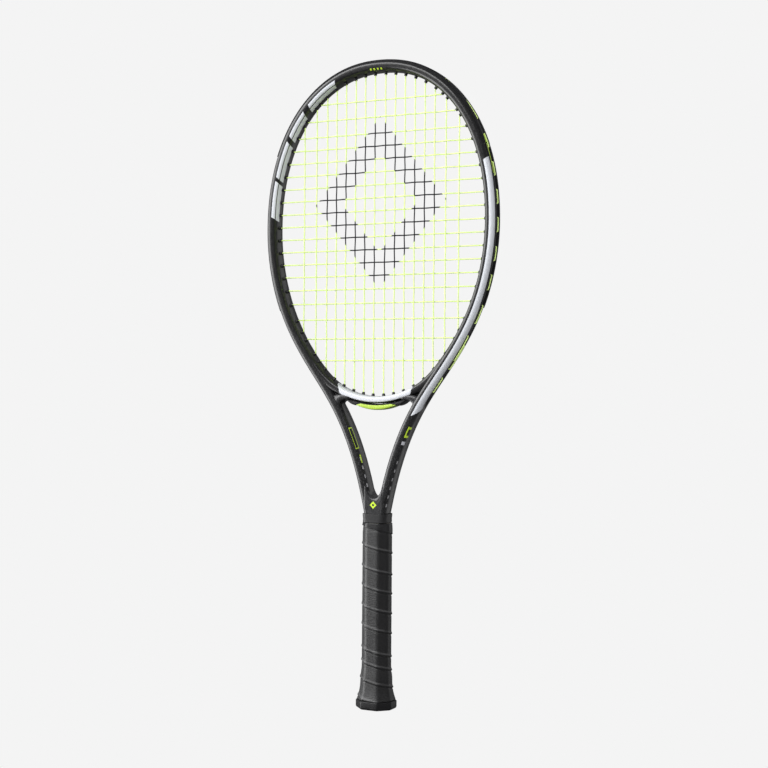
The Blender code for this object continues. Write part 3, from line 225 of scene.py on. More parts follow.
def offset_from_hairpin(point):
    """How far a point (x, z) lies outside the centreline, and the arc length there."""
    mirrored = Vector((abs(point.x), point.y))
    best = min(range(len(HALF_POINTS)), key=lambda index: (mirrored - HALF_POINTS[index]).length_squared)
    length = math.copysign(HALF_LENGTHS[best], point.x)
    centre, normal = path_frame(length)
    return (point - centre).dot(normal), length


GUARD_END = length_at_height(RACKET_LENGTH - GUARD_END_DROP)
FLANGE_END = length_at_height(RACKET_LENGTH - FLANGE_END_DROP)
STRIP_END = length_at_height(RACKET_LENGTH - STRIP_END_DROP)


# ---------------------------------------------------------------- mesh helpers


def make_object(name, points, faces, coords=None):
    """One mesh object; coords gives a (along, around) pair for each corner of each face."""
    mesh = bpy.data.meshes.new(name)
    mesh.from_pydata([tuple(point) for point in points], [], faces)
    if coords:
        layer = mesh.uv_layers.new(name="Place")
        flat = [number for face in coords for pair in face for number in pair]
        layer.data.foreach_set("uv", flat)
    mesh.shade_smooth()
    item = bpy.data.objects.new(name, mesh)
    bpy.context.scene.collection.objects.link(item)
    return item


def turned_outwards(item):
    """The object's faces turned outwards."""
    shape = bmesh.new()
    shape.from_mesh(item.data)
    bmesh.ops.recalc_face_normals(shape, faces=shape.faces)
    shape.to_mesh(item.data)
    shape.free()
    item.data.shade_smooth()
    return item


def sharpen(item, degrees):
    item.data.set_sharp_from_angle(angle=math.radians(degrees))
    return item


def loft_shape(rings, alongs=None, arounds=None):
    """Points, faces and corner coordinates of a closed body through rings of equal counts."""
    count = len(rings[0])
    alongs = alongs or list(range(len(rings)))
    arounds = arounds or [step / count for step in range(count + 1)]
    points = [point for ring in rings for point in ring]
    faces, coords = [], []
    for row in range(len(rings) - 1):
        for column in range(count):
            after = (column + 1) % count
            low, high = row * count, (row + 1) * count
            faces.append((low + column, low + after, high + after, high + column))
            near, far = arounds[column], arounds[column + 1]
            coords.append(
                ((alongs[row], near), (alongs[row], far), (alongs[row + 1], far), (alongs[row + 1], near))
            )
    for row, flip in ((0, True), (len(rings) - 1, False)):
        face = [row * count + column for column in range(count)]
        corners = [(alongs[row], arounds[column]) for column in range(count)]
        faces.append(tuple(reversed(face)) if flip else tuple(face))
        coords.append(tuple(reversed(corners)) if flip else tuple(corners))
    return points, faces, coords


def join_shapes(shapes):
    """Several shapes as one."""
    points, faces, coords = [], [], []
    for shape_points, shape_faces, shape_coords in shapes:
        start = len(points)
        points.extend(shape_points)
        faces.extend(tuple(start + index for index in face) for face in shape_faces)
        coords.extend(shape_coords)
    return points, faces, coords


def loft(name, rings, alongs=None, arounds=None):
    return turned_outwards(make_object(name, *loft_shape(rings, alongs, arounds)))


def tube_rings(points, radius, sides):
    """Rings round a line of points, turned as little as possible from one to the next."""
    rings = []
    tangent = (points[1] - points[0]).normalized()
    across = tangent.orthogonal().normalized()
    for index, point in enumerate(points):
        before = (point - points[index - 1]).normalized() if index else tangent
        after = (points[index + 1] - point).normalized() if index < len(points) - 1 else before
        along = (before + after).normalized()
        across = (across - along * across.dot(along)).normalized()
        third = along.cross(across)
        width = radius[index] if isinstance(radius, list) else radius
        ring = []
        for step in range(sides):
            angle = 2 * math.pi * step / sides
            ring.append(point + (across * math.cos(angle) + third * math.sin(angle)) * width)
        rings.append(ring)
    return rings


def steps(start, end, pitch):
    """Even steps from start to end, both ends with them, about pitch apart."""
    count = max(1, math.ceil(abs(end - start) / pitch))
    return [mix(start, end, step / count) for step in range(count + 1)]


# ---------------------------------------------------------------- tube

AROUND_STEPS = 44


def section_angles():
    """Angles round the tube from the middle of its inner side, through the back, and round to it again."""
    return [-math.pi + 2 * math.pi * step / AROUND_STEPS for step in range(AROUND_STEPS)]


def rounded(half_width, half_depth, angle, rounding=TUBE_ROUNDING):
    """A point (out, y) of a rounded rectangle; 0 is outwards and 90 degrees is the front."""
    out = half_width * math.copysign(abs(math.cos(angle)) ** rounding, math.cos(angle))
    y = -half_depth * math.copysign(abs(math.sin(angle)) ** rounding, math.sin(angle))
    return out, y


def tube_half_sizes(z):
    share = smooth_step(z, SHANK_TOP, YOKE_HEIGHT)
    return mix(SHANK_LEG_WIDTH, TUBE_WIDTH, share) / 2, mix(SHANK_DEPTH, TUBE_DEPTH, share) / 2


def placed(length, section):
    """A section of (out, y) pairs placed across the hairpin."""
    centre, normal = path_frame(length)
    return [Vector((centre.x + normal.x * out, y, centre.y + normal.y * out)) for out, y in section]


def groove_section(length):
    """The tube's skin with the string groove along its outer side."""
    half_width, half_depth = tube_half_sizes(path_frame(length)[0].y)
    depth = GROOVE_DEPTH * (1.0 - smooth_step(abs(length), STRIP_END + 0.002, STRIP_END + 0.022))
    section = []
    for angle in section_angles():
        out, y = rounded(half_width, half_depth, angle)
        sunk = 1.0 - smooth_step(abs(y), 0.0030, 0.0036)
        section.append((out - depth * sunk if out > 0 else out, y))
    return section


def make_frame():
    lengths = steps(-HALF_LENGTH, HALF_LENGTH, 0.0032)
    rings = [placed(length, groove_section(length)) for length in lengths]
    arounds = [step * 2.0 / AROUND_STEPS - 1.0 for step in range(AROUND_STEPS + 1)]
    return loft("frame_shell", rings, lengths, arounds)


def yoke_ring(x, half_width):
    """A closed loop (y, z) round the yoke's filling, flush with the arms, at distance x from the middle."""
    share = abs(x) / half_width
    low = YOKE_FOOT + max(0.0, abs(x) - YOKE_HALF_SPREAD) / ARM_SPREAD_SLOPE
    top = YOKE_HEIGHT + WEB_CROTCH + YOKE_HORN_RISE * share**2.3
    heights = [mix(low, top - YOKE_ROUNDING, step / 4) for step in range(5)]
    front = [(-tube_half_sizes(z)[1], z) for z in heights]
    deep = tube_half_sizes(top)[1]
    ring = list(front)
    for step in range(1, 12):
        turn = math.pi * (1.0 - step / 12)
        out = YOKE_ROUNDING * math.sin(turn) ** 0.8
        y = deep * math.copysign(abs(math.cos(turn)) ** 0.8, math.cos(turn))
        ring.append((y, top - YOKE_ROUNDING + out))
    return ring + [(-y, z) for y, z in reversed(front)]


YOKE_FOOT = 0.1860
YOKE_ROUNDING = 0.0058
YOKE_HORN_RISE = 0.0135
ARM_SPREAD_SLOPE = 0.20


def make_yoke():
    """What fills the angle between the two arms, flush with their fronts and backs."""
    half_width = 0.0100
    rings = []
    for step in range(25):
        x = mix(-half_width, half_width, step / 24)
        rings.append([Vector((x, y, z)) for y, z in yoke_ring(x, half_width)])
    return loft("yoke_fill", rings, [point[0].x for point in rings])


# ---------------------------------------------------------------- bridge and insert


def bridge_flare(x):
    return BRIDGE_FLARE * smooth_step(abs(x), BRIDGE_FLARE_FROM, BRIDGE_FLARE_TO)


def oval_ring(angle, section):
    centre, normal = Vector(oval_point(angle)), oval_normal(angle)
    return [Vector((centre.x + normal.x * out, y, centre.y + normal.y * out)) for out, y in section]


def make_bridge():
    rings, alongs = [], []
    for step in range(121):
        angle = -math.pi / 2 + BRIDGE_REACH * (2 * step / 120 - 1)
        x = oval_point(angle)[0]
        half = (BRIDGE_WIDTH + bridge_flare(x)) / 2
        section = [rounded(half, BRIDGE_DEPTH / 2, turn, 0.66) for turn in section_angles()]
        rings.append(oval_ring(angle, [(out - HALF_WIDTH + half, y) for out, y in section]))
        alongs.append(x)
    arounds = [step * 2.0 / AROUND_STEPS - 1.0 for step in range(AROUND_STEPS + 1)]
    return loft("bridge_shell", rings, alongs, arounds)


def throat_angle(x):
    angle = -math.acos((abs(x) / HEAD_HALF_WIDTH) ** (LOWER_SQUARENESS / 2))
    return angle if x >= 0 else -math.pi - angle


BRIDGE_UNDER = BRIDGE_WIDTH - HALF_WIDTH
INSERT_BASE = BRIDGE_UNDER + CLEARANCE + STRIP_BASE + 0.00115 + STRING_DIAMETER / 2 + CLEARANCE


def pillow(low, high, half, rounding, count=24):
    """A rounded section between two offsets."""
    middle, rise = (low + high) / 2, (high - low) / 2
    made = []
    for step in range(count):
        out, y = rounded(rise, half, 2 * math.pi * step / count, rounding)
        made.append((middle + out, y))
    return made


def make_insert():
    rings = []
    for step in range(61):
        x = INSERT_HALF_LENGTH * math.sin(math.pi / 2 * (2 * step / 60 - 1))
        share = max(0.0, 1.0 - (x / INSERT_HALF_LENGTH) ** 2)
        high = INSERT_BASE + mix(INSERT_EDGE, INSERT_THICKNESS, share)
        half = INSERT_DEPTH / 2 * mix(0.80, 1.0, min(1.0, share * 3))
        low = mix(INSERT_BASE, BRIDGE_UNDER + 0.0014, smooth_step(share, 0.10, 0.45))
        rings.append(oval_ring(throat_angle(x), pillow(low, high, half, 0.45)))
    return loft("throat_crescent", rings)


def curve_through(start, bend, end, share):
    return (1 - share) ** 2 * start + 2 * (1 - share) * share * bend + share**2 * end


def make_gusset(name, side, face):
    """A thin rounded web in the corner between the bridge and an arm, on one face of the racket."""
    edge_curve = (Vector((0.0300, 0.3140)), Vector((0.0432, 0.3150)), Vector((0.0425, 0.3050)))
    root_curve = (Vector((0.0290, 0.3170)), Vector((0.0580, 0.3235)), Vector((0.0462, 0.3040)))
    rings = []
    for step in range(21):
        edge = curve_through(*edge_curve, step / 20)
        root = curve_through(*root_curve, step / 20)
        inwards = (root - edge).normalized()
        section = [(edge, 0.0060), (edge, 0.0078), (edge + inwards * 0.0003, 0.0084)]
        section += [(edge + inwards * 0.0011, 0.0089), (edge + inwards * 0.0024, 0.0091)]
        section += [(root, 0.0088), (root, 0.0060)]
        rings.append([Vector((side * place.x, face * y, place.y)) for place, y in section])
    return loft(name, rings)


def make_insert_seat():
    """The dark seat behind the crescent, with a pad at each end."""
    rings = []
    for step in range(71):
        x = mix(-0.0330, 0.0330, step / 70)
        share = smooth_step(abs(x), 0.0330, 0.0250)
        low = BRIDGE_UNDER + CLEARANCE + STRIP_BASE * 0.5
        high = INSERT_BASE + mix(-0.0004, 0.0016, share) * smooth_step(abs(x), 0.0190, 0.0225)
        rings.append(oval_ring(throat_angle(x), pillow(low, high, 0.0066, 0.4)))
    return loft("insert_seat", rings)


# ---------------------------------------------------------------- holes, grommets and strips


def positions(start, end, gaps):
    places = [start]
    for gap in gaps:
        places.append(places[-1] + (end - start) * gap / sum(gaps))
    return places


MAIN_X = positions(MAIN_HALF_GAP, HEAD_HALF_WIDTH - OUTER_MAIN_MARGIN, MAIN_GAPS)
HEAD_TOP = HEAD_MIDDLE + HEAD_UPPER_HEIGHT
HEAD_BOTTOM = HEAD_MIDDLE - HEAD_LOWER_HEIGHT
CROSS_Z = positions(HEAD_TOP - TOP_CROSS_MARGIN, HEAD_BOTTOM + BOTTOM_CROSS_MARGIN, CROSS_GAPS)
STRIP_FACE = HALF_WIDTH * 0.985 - GROOVE_DEPTH + CLEARANCE + STRIP_BASE
BRIDGE_FACE = BRIDGE_UNDER + CLEARANCE + STRIP_BASE


class Hole:
    """One string hole, square to the head's oval, from the inner side outwards."""

    def __init__(self, angle, in_bridge):
        self.normal = oval_normal(angle)
        self.mouth = Vector(oval_point(angle, HALF_WIDTH))
        self.in_bridge = in_bridge
        target = BRIDGE_FACE if in_bridge else STRIP_FACE
        self.exit = TUBE_WIDTH if not in_bridge else BRIDGE_WIDTH + STRIP_BASE + CLEARANCE
        for _ in range(0 if in_bridge else 12):
            place = self.mouth + self.normal * self.exit
            self.exit += target - offset_from_hairpin(place)[0]
        self.length = offset_from_hairpin(self.mouth + self.normal * self.exit)[1]

    def point(self, distance, y=0.0):
        place = self.mouth + self.normal * distance
        return Vector((place.x, y, place.y))


def sided(angle, side, upper):
    if side > 0:
        return angle
    return math.pi - angle if upper else -math.pi - angle


def main_holes(upper):
    holes = {}
    for index, x in enumerate(MAIN_X, 1):
        angle = oval_angle_at_width(x, HALF_WIDTH, upper)
        for side in (-1, 1):
            in_bridge = not upper and index <= BRIDGE_MAINS
            holes[side * index] = Hole(sided(angle, side, upper), in_bridge)
    return holes


def side_holes():
    holes = {}
    for row, z in enumerate(CROSS_Z):
        angle = oval_angle_at_height(z, HALF_WIDTH)
        for side in (-1, 1):
            holes[(row, side)] = Hole(sided(angle, side, angle >= 0), False)
    return holes


TOP_HOLES = main_holes(True)
LOW_HOLES = main_holes(False)
SIDE_HOLES = side_holes()
ALL_HOLES = list(TOP_HOLES.values()) + list(LOW_HOLES.values()) + list(SIDE_HOLES.values())


def grommet_shape(hole):
    """A barrel with a soft collar where it leaves the tube, and a dark mouth."""
    outer = BARREL_DIAMETER / 2
    bore = STRING_DIAMETER / 2 + 0.00012
    profile = [(0.0060, outer), (0.0006, outer), (0.0002, outer * 1.16), (-0.0002, outer * 1.16)]
    profile += [
        (-0.0005, outer * 1.02), (-BARREL_PROUD * 0.85, outer * 0.92), (-BARREL_PROUD, outer * 0.78)
    ]
    profile += [(-BARREL_PROUD, bore * 1.25), (-BARREL_PROUD * 0.7, bore), (0.0040, bore)]
    rings = []
    along = Vector((hole.normal.x, 0.0, hole.normal.y))
    across = Vector((0.0, 1.0, 0.0))
    third = along.cross(across)
    for distance, radius in profile:
        ring = []
        for step in range(14):
            turn = 2 * math.pi * step / 14
            spoke = across * math.cos(turn) + third * math.sin(turn)
            ring.append(hole.point(distance) + spoke * radius)
        rings.append(ring)
    return loft_shape(rings)


def flange_section(ridge_height, reach):
    """A strip that wraps the tube's outer shoulders, rounded along its edges, with the string channel."""
    lift = CLEARANCE + FLANGE_THICKNESS
    channel = CHANNEL_WIDTH / 2
    ridge = HALF_WIDTH + ridge_height
    under, top = [], []
    for share in (0.0, 0.3, 0.62, 1.0):
        y = mix(reach - 0.0002, channel + 0.0012, share)
        angle = math.asin((y / HALF_DEPTH) ** (1.0 / TUBE_ROUNDING))
        out, _ = rounded(HALF_WIDTH, HALF_DEPTH, angle)
        rise = mix(0.35, 1.0, min(1.0, share / 0.3)) * lift * 0.89
        top.append((out + rise, y + 0.0003))
        under.append((out - 0.0002, y))
    half = [(STRIP_FACE, 0.0), (STRIP_FACE, channel - 0.0003), (STRIP_FACE + 0.0002, channel)]
    half += [
        (ridge - 0.0002, channel + 0.0002), (ridge, channel + 0.0006),
        (ridge - 0.00015, channel + 0.0010)
    ]
    half += list(reversed(top)) + under
    half += [(STRIP_FACE - STRIP_BASE, 0.0032), (STRIP_FACE - STRIP_BASE, 0.0)]
    return half + [(out, -y) for out, y in reversed(half[1:-1])]


def base_section():
    half = [(STRIP_FACE, 0.0), (STRIP_FACE, 0.0026), (STRIP_FACE - 0.0003, 0.0031)]
    half += [(STRIP_FACE - STRIP_BASE, 0.0031), (STRIP_FACE - STRIP_BASE, 0.0)]
    return half + [(out, -y) for out, y in reversed(half[1:-1])]


def strip_shape(start, end, section):
    lengths = steps(start, end, 0.0030)
    rings, alongs = [], []
    for length in lengths:
        rings.append(placed(length, section))
        alongs.append(length)
    return loft_shape(rings, alongs)


def holes_between(start, end):
    return [hole for hole in ALL_HOLES if not hole.in_bridge and start < hole.length < end]


def make_guard():
    shapes = [strip_shape(-GUARD_END, GUARD_END, flange_section(GUARD_RIDGE_HEIGHT, GUARD_REACH))]
    shapes += [grommet_shape(hole) for hole in holes_between(-GUARD_END, GUARD_END)]
    return sharpen(turned_outwards(make_object("bumper_band", *join_shapes(shapes))), 40)


def make_side_strip(name, side):
    start = GUARD_END + STRIP_JOINT_GAP
    ends = sorted((side * start, side * FLANGE_END))
    lower = sorted((side * FLANGE_END, side * STRIP_END))
    shapes = [
        strip_shape(*ends, flange_section(SIDE_RIDGE_HEIGHT, SIDE_REACH)),
        strip_shape(*lower, base_section())
    ]
    span = sorted((side * start, side * STRIP_END))
    shapes += [grommet_shape(hole) for hole in holes_between(*span)]
    return sharpen(turned_outwards(make_object(name, *join_shapes(shapes))), 40)


def make_throat_strip():
    half = THROAT_STRIP_DEPTH / 2
    rings = []
    for x in steps(-THROAT_STRIP_HALF_LENGTH, THROAT_STRIP_HALF_LENGTH, 0.002):
        low = BRIDGE_UNDER + CLEARANCE + bridge_flare(x)
        rings.append(oval_ring(throat_angle(x), pillow(low, low + STRIP_BASE, half, 0.35, 16)))
    shapes = [loft_shape(rings)]
    shapes += [grommet_shape(hole) for hole in ALL_HOLES if hole.in_bridge]
    return sharpen(turned_outwards(make_object("throat_strip", *join_shapes(shapes))), 40)


# ---------------------------------------------------------------- strings

CROSS_SWING = 0.00092
CROSS_START_SIDE = 1
MAIN_SWING = 0.00038
LOOP_SIDE = 0.00135
LOOP_LIFT = 0.0011


def mouth(hole, y=0.0):
    return hole.point(-BARREL_PROUD, y)


def loop_points(first, second, y):
    """A string's way outside the frame from one hole to the next, along the channel."""
    if first.in_bridge:
        high = [hole.point(hole.exit + LOOP_LIFT, y) for hole in (first, second)]
        return [high[0].lerp(high[1], step / 6) for step in range(7)]
    lengths = steps(first.length, second.length, 0.003)
    middle = []
    for length in lengths:
        centre, normal = path_frame(length)
        place = centre + normal * (STRIP_FACE + LOOP_LIFT)
        middle.append(Vector((place.x, y, place.y)))
    return middle


def soften(points, rounds=2):
    """Corners cut off a line of points, its ends kept."""
    for _ in range(rounds):
        made = [points[0]]
        for start, end in zip(points, points[1:]):
            made += [start.lerp(end, 0.25), start.lerp(end, 0.75)]
        points = made + [points[-1]]
    return points


def turn(first, second, y):
    """Out through one hole, along the channel and in through the next."""
    into = [first.point(0.0), first.point(first.exit * 0.75, y * 0.3)]
    back = [second.point(second.exit * 0.75, y * 0.3), second.point(0.0)]
    return soften(into + loop_points(first, second, y) + back, 1)


def weave_sign(place, row):
    return 1.0 if (place + row) % 2 == 0 else -1.0


MAIN_ORDER = [-index for index in range(len(MAIN_X), 0, -1)] + list(range(1, len(MAIN_X) + 1))


def swung(start, end, marks, swing):
    """Points from start to end that swing to the given sides of the face at the marks along the way."""
    span = (end - start).length
    direction = (end - start).normalized()
    knots = [(0.0, start.y)] + [(mark, sign * swing) for mark, sign in marks] + [(span, end.y)]
    points = []
    for (low, low_y), (high, high_y) in zip(knots, knots[1:]):
        count = 7
        for step in range(count):
            share = step / count
            eased = (1.0 - math.cos(math.pi * share)) / 2
            place = start + direction * mix(low, high, share)
            points.append(Vector((place.x, mix(low_y, high_y, eased), place.z)))
    return points + [end]


def main_run(index):
    """One main from its top mouth to its low mouth."""
    start, end = mouth(TOP_HOLES[index]), mouth(LOW_HOLES[index])
    place = MAIN_ORDER.index(index)
    marks = []
    for row, z in enumerate(CROSS_Z):
        if end.z + STRING_DIAMETER < z < start.z - STRING_DIAMETER:
            marks.append((start.z - z, -weave_sign(place, row)))
    return swung(start, end, marks, MAIN_SWING)


def cross_run(row):
    """One cross from its left mouth to its right mouth."""
    start, end = mouth(SIDE_HOLES[(row, -1)]), mouth(SIDE_HOLES[(row, 1)])
    marks = []
    for place, index in enumerate(MAIN_ORDER):
        low, high = mouth(LOW_HOLES[index]).z, mouth(TOP_HOLES[index]).z
        x = math.copysign(MAIN_X[abs(index) - 1], index)
        if low + STRING_DIAMETER < CROSS_Z[row] < high - STRING_DIAMETER:
            marks.append((x - start.x, weave_sign(place, row)))
    return swung(start, end, marks, CROSS_SWING)


def tail(hole, direction, y):
    """A string's end in the channel, tied off in a small knot."""
    made = [hole.point(0.0), hole.point(hole.exit * 0.75, y * 0.3)]
    for along in (0.0010, 0.0030, 0.0055, 0.0062, 0.0068, 0.0076, 0.0084, 0.0090):
        centre, normal = path_frame(hole.length + direction * along)
        place = centre + normal * (STRIP_FACE + LOOP_LIFT)
        made.append(Vector((place.x, y, place.y)))
    return made


KNOT_SCALES = [1.0, 1.0, 1.0, 1.0, 1.0, 1.15, 1.38, 1.38, 1.2, 0.7]


def string_object(name, points, radii):
    distance, alongs = 0.0, [0.0]
    for start, end in zip(points, points[1:]):
        distance += (end - start).length
        alongs.append(distance)
    return turned_outwards(make_object(name, *loft_shape(tube_rings(points, radii, 8), alongs)))


def with_tails(first_tail, body, last_tail):
    radius = STRING_DIAMETER / 2
    radii = [radius * scale for scale in reversed(KNOT_SCALES)]
    radii += [radius] * len(body) + [radius * scale for scale in KNOT_SCALES]
    return list(reversed(first_tail)) + body + last_tail, radii


def make_mains():
    body = []
    for place, index in enumerate(MAIN_ORDER):
        down = place % 2 == 0
        run = main_run(index)
        body += run if down else list(reversed(run))
        if place < len(MAIN_ORDER) - 1:
            holes = LOW_HOLES if down else TOP_HOLES
            body += turn(holes[index], holes[MAIN_ORDER[place + 1]], -LOOP_SIDE)
    first = tail(TOP_HOLES[MAIN_ORDER[0]], 1.0, -LOOP_SIDE)
    last = tail(TOP_HOLES[MAIN_ORDER[-1]], -1.0, -LOOP_SIDE)
    return string_object("mains", *with_tails(first, body, last))


def make_crosses():
    body = []
    last_row = len(CROSS_Z) - 1
    for row in range(len(CROSS_Z)):
        side = -CROSS_START_SIDE if row % 2 == 0 else CROSS_START_SIDE
        run = cross_run(row)
        body += run if side > 0 else list(reversed(run))
        if row < last_row:
            body += turn(SIDE_HOLES[(row, side)], SIDE_HOLES[(row + 1, side)], LOOP_SIDE)
    first = tail(SIDE_HOLES[(0, CROSS_START_SIDE)], -CROSS_START_SIDE, LOOP_SIDE)
    last = tail(SIDE_HOLES[(last_row, side)], -side, LOOP_SIDE)
    return string_object("crosses", *with_tails(first, body, last))


# ---------------------------------------------------------------- handle


def grown_octagon(size, growth):
    return size[0] + growth, size[1] + growth, size[2] + growth * (2.0 - math.sqrt(2.0))


def octagon_outline(size, per_side=6, corner=0.0016):
    """The outline (x, y) of an octagon with rounded corners, from the middle of the right side round."""
    half_x, half_y, cut = size
    corners = [
        (half_x, half_y - cut), (half_x - cut, half_y), (cut - half_x, half_y),
        (-half_x, half_y - cut)
    ]
    corners += [
        (-half_x, cut - half_y), (cut - half_x, -half_y), (half_x - cut, -half_y),
        (half_x, cut - half_y)
    ]
    corners = [Vector(point) for point in corners]
    outline = []
    for index, point in enumerate(corners):
        before = corners[index - 1]
        after = corners[(index + 1) % len(corners)]
        into = (before - point).normalized() * corner
        away = (after - point).normalized() * corner
        for step in range(per_side):
            t = step / (per_side - 1)
            bend = (1 - t) ** 2 * (point + into) + 2 * (1 - t) * t * point + t * t * (point + away)
            outline.append(bend)
        flat_start = point + away
        flat_end = after + (point - after).normalized() * corner
        for step in range(1, 5):
            outline.append(flat_start.lerp(flat_end, step / 5))
    return outline


BEVEL_SHRINK = 2.0 - math.sqrt(2.0)
CAP_SIZE = (0.0200, 0.01775, PALLET_SIZE[2] + (0.0200 - PALLET_SIZE[0]) * BEVEL_SHRINK)
SKIRT_TOP_SIZE = grown_octagon(PALLET_SIZE, CLEARANCE + 0.0009)
SKIRT_FOOT_SIZE = grown_octagon(CAP_SIZE, -GRIP_THICKNESS - CLEARANCE)


def mix_sizes(first, second, share):
    return tuple(mix(a, b, share) for a, b in zip(first, second))


def under_grip_size(z):
    """What the grip lies on: the cap's skirt at the bottom, the handle shells above it."""
    if z <= CAP_SKIRT_TOP:
        share = min(1.0, max(0.0, (CAP_SKIRT_TOP - z) / (CAP_SKIRT_TOP - CAP_RIM_HEIGHT)))
        return mix_sizes(SKIRT_TOP_SIZE, SKIRT_FOOT_SIZE, share**2.2)
    share = smooth_step(z, CAP_SKIRT_TOP, CAP_SKIRT_TOP + 0.015)
    return mix_sizes(SKIRT_TOP_SIZE, PALLET_SIZE, share)


def grip_thickness(z):
    share = max(0.0, (z - HANDLE_TOP + GRIP_TAIL_LENGTH) / GRIP_TAIL_LENGTH)
    return mix(GRIP_THICKNESS, GRIP_TAIL_THICKNESS, share)


# The heights at which the wrap's seams pass the middle of the front, from the butt up
SEAMS_FRONT = (
    -0.0090, 0.0080, 0.0265, 0.0438, 0.0574, 0.0808, 0.1008, 0.1210, 0.1404, 0.1624, 0.1825, 0.2030
)
WRAP_RISE = 0.0200


def seam_phase(z, turn):
    """How far (0 to 1) a place lies above its seam; turn is the share of a full turn from the front."""
    level = z - WRAP_RISE * turn
    for low, high in zip(SEAMS_FRONT, SEAMS_FRONT[1:]):
        if low <= level < high:
            return (level - low) / (high - low), high - low
    return 0.5, WRAP_RISE


def lap_height(z, turn):
    """The wrap's skin above its mean: sunk at the seam, with the overlapping turn's lip just above it."""
    phase, rise = seam_phase(z, turn)
    above = phase * rise
    below = (1.0 - phase) * rise
    lip = 0.00072 * math.exp(-(((above - 0.0015) / 0.0013) ** 2))
    drop = -0.00070 * math.exp(-((above / 0.00050) ** 2)) - 0.00055 * math.exp(-((below / 0.0009) ** 2))
    return lip + drop


def make_grip():
    """The strip wound up the handle, its edges sunk along every seam."""
    rings, alongs = [], []
    low, high = GRIP_BOTTOM, HANDLE_TOP - 0.0002
    for z in steps(low, high, 0.00062):
        size = grown_octagon(under_grip_size(z), CLEARANCE + grip_thickness(z) - 0.00042)
        outline = octagon_outline(size, corner=0.0022)
        ring = []
        for index, point in enumerate(outline):
            angle = math.atan2(point.x, -point.y)
            rise = lap_height(z, -angle / (2 * math.pi))
            end = min(1.0, (z - low) / 0.0008, (high - z) / 0.0008)
            rise -= 0.0007 * (1.0 - math.sqrt(max(0.0, end)))
            normal = Vector((point.x / size[0] ** 1.2, point.y / size[1] ** 1.2)).normalized()
            ring.append(Vector((point.x + normal.x * rise, point.y + normal.y * rise, z)))
        rings.append(ring)
        alongs.append(z)
    inner = []
    inner_heights = [high] + [
        z for z in (0.10, 0.05, 0.044, 0.036, 0.029, 0.023, 0.018, 0.014, 0.011)
    ] + [low]
    for z in inner_heights:
        size = grown_octagon(under_grip_size(z), 0.00005)
        inner.append([Vector((p.x, p.y, z)) for p in octagon_outline(size, corner=0.0022)])
    grip_cover = tube_body("grip_cover", rings + inner, alongs + inner_heights)
    mark_laps(grip_cover)
    return grip_cover


def mark_laps(item):
    """A second set of coordinates: how far each place lies above its seam and below the next."""
    layer = item.data.uv_layers.new(name="Lap")
    for loop in item.data.loops:
        point = item.data.vertices[loop.vertex_index].co
        phase, rise = seam_phase(point.z, -math.atan2(point.x, -point.y) / (2 * math.pi))
        layer.data[loop.index].uv = (phase * rise, (1.0 - phase) * rise)


def tube_body(name, loops, alongs):
    """A ring-shaped body: loops in order up the outside and down the inside, the last joined to the first."""
    count = len(loops[0])
    points = [point for ring in loops for point in ring]
    faces, coords = [], []
    for row in range(len(loops)):
        low, high = row * count, ((row + 1) % len(loops)) * count
        for column in range(count):
            after = (column + 1) % count
            faces.append((low + column, low + after, high + after, high + column))
            near, far = column / count, (column + 1) / count
            start, end = alongs[row], alongs[(row + 1) % len(loops)]
            coords.append(((start, near), (start, far), (end, far), (end, near)))
    return turned_outwards(make_object(name, points, faces, coords))


def profile_body(name, profile, corner):
    """A ring-shaped body from (octagon size, z) pairs up the outside and down the inside."""
    loops = []
    for size, z in profile:
        loops.append([Vector((point.x, point.y, z)) for point in octagon_outline(size, corner=corner)])
    return tube_body(name, loops, [z for size, z in profile])


def make_cap():
    """The butt cap's rim and floor, rounded over at its foot, with the door's opening."""
    inner = grown_octagon(PALLET_SIZE, CLEARANCE)
    door = grown_octagon(DOOR_SIZE, CLEARANCE)
    profile = []
    for step in range(7):
        turn = math.pi / 2 * step / 6
        profile.append(
            (grown_octagon(CAP_SIZE, -0.0024 * (1.0 - math.sin(turn))), 0.0024 * (1.0 - math.cos(turn)))
        )
    profile += [(CAP_SIZE, 0.0050), (CAP_SIZE, CAP_RIM_HEIGHT - 0.0009)]
    profile += [(grown_octagon(CAP_SIZE, -0.0002), CAP_RIM_HEIGHT - 0.0003)]
    profile += [(grown_octagon(CAP_SIZE, -0.0007), CAP_RIM_HEIGHT)]
    for z in (CAP_RIM_HEIGHT + 0.0001, 0.0110, 0.0140, 0.0180, 0.0230, CAP_SKIRT_TOP):
        profile.append((grown_octagon(under_grip_size(z), -0.0001), z))
    profile += [(inner, CAP_SKIRT_TOP), (inner, 0.0032), (door, 0.0032), (door, 0.0006)]
    profile += [(grown_octagon(door, 0.0005), 0.0)]
    return sharpen(profile_body("cap_shell", profile, 0.0011), 50)


DOOR_SIZE = (0.0090, 0.0075, 0.0042)


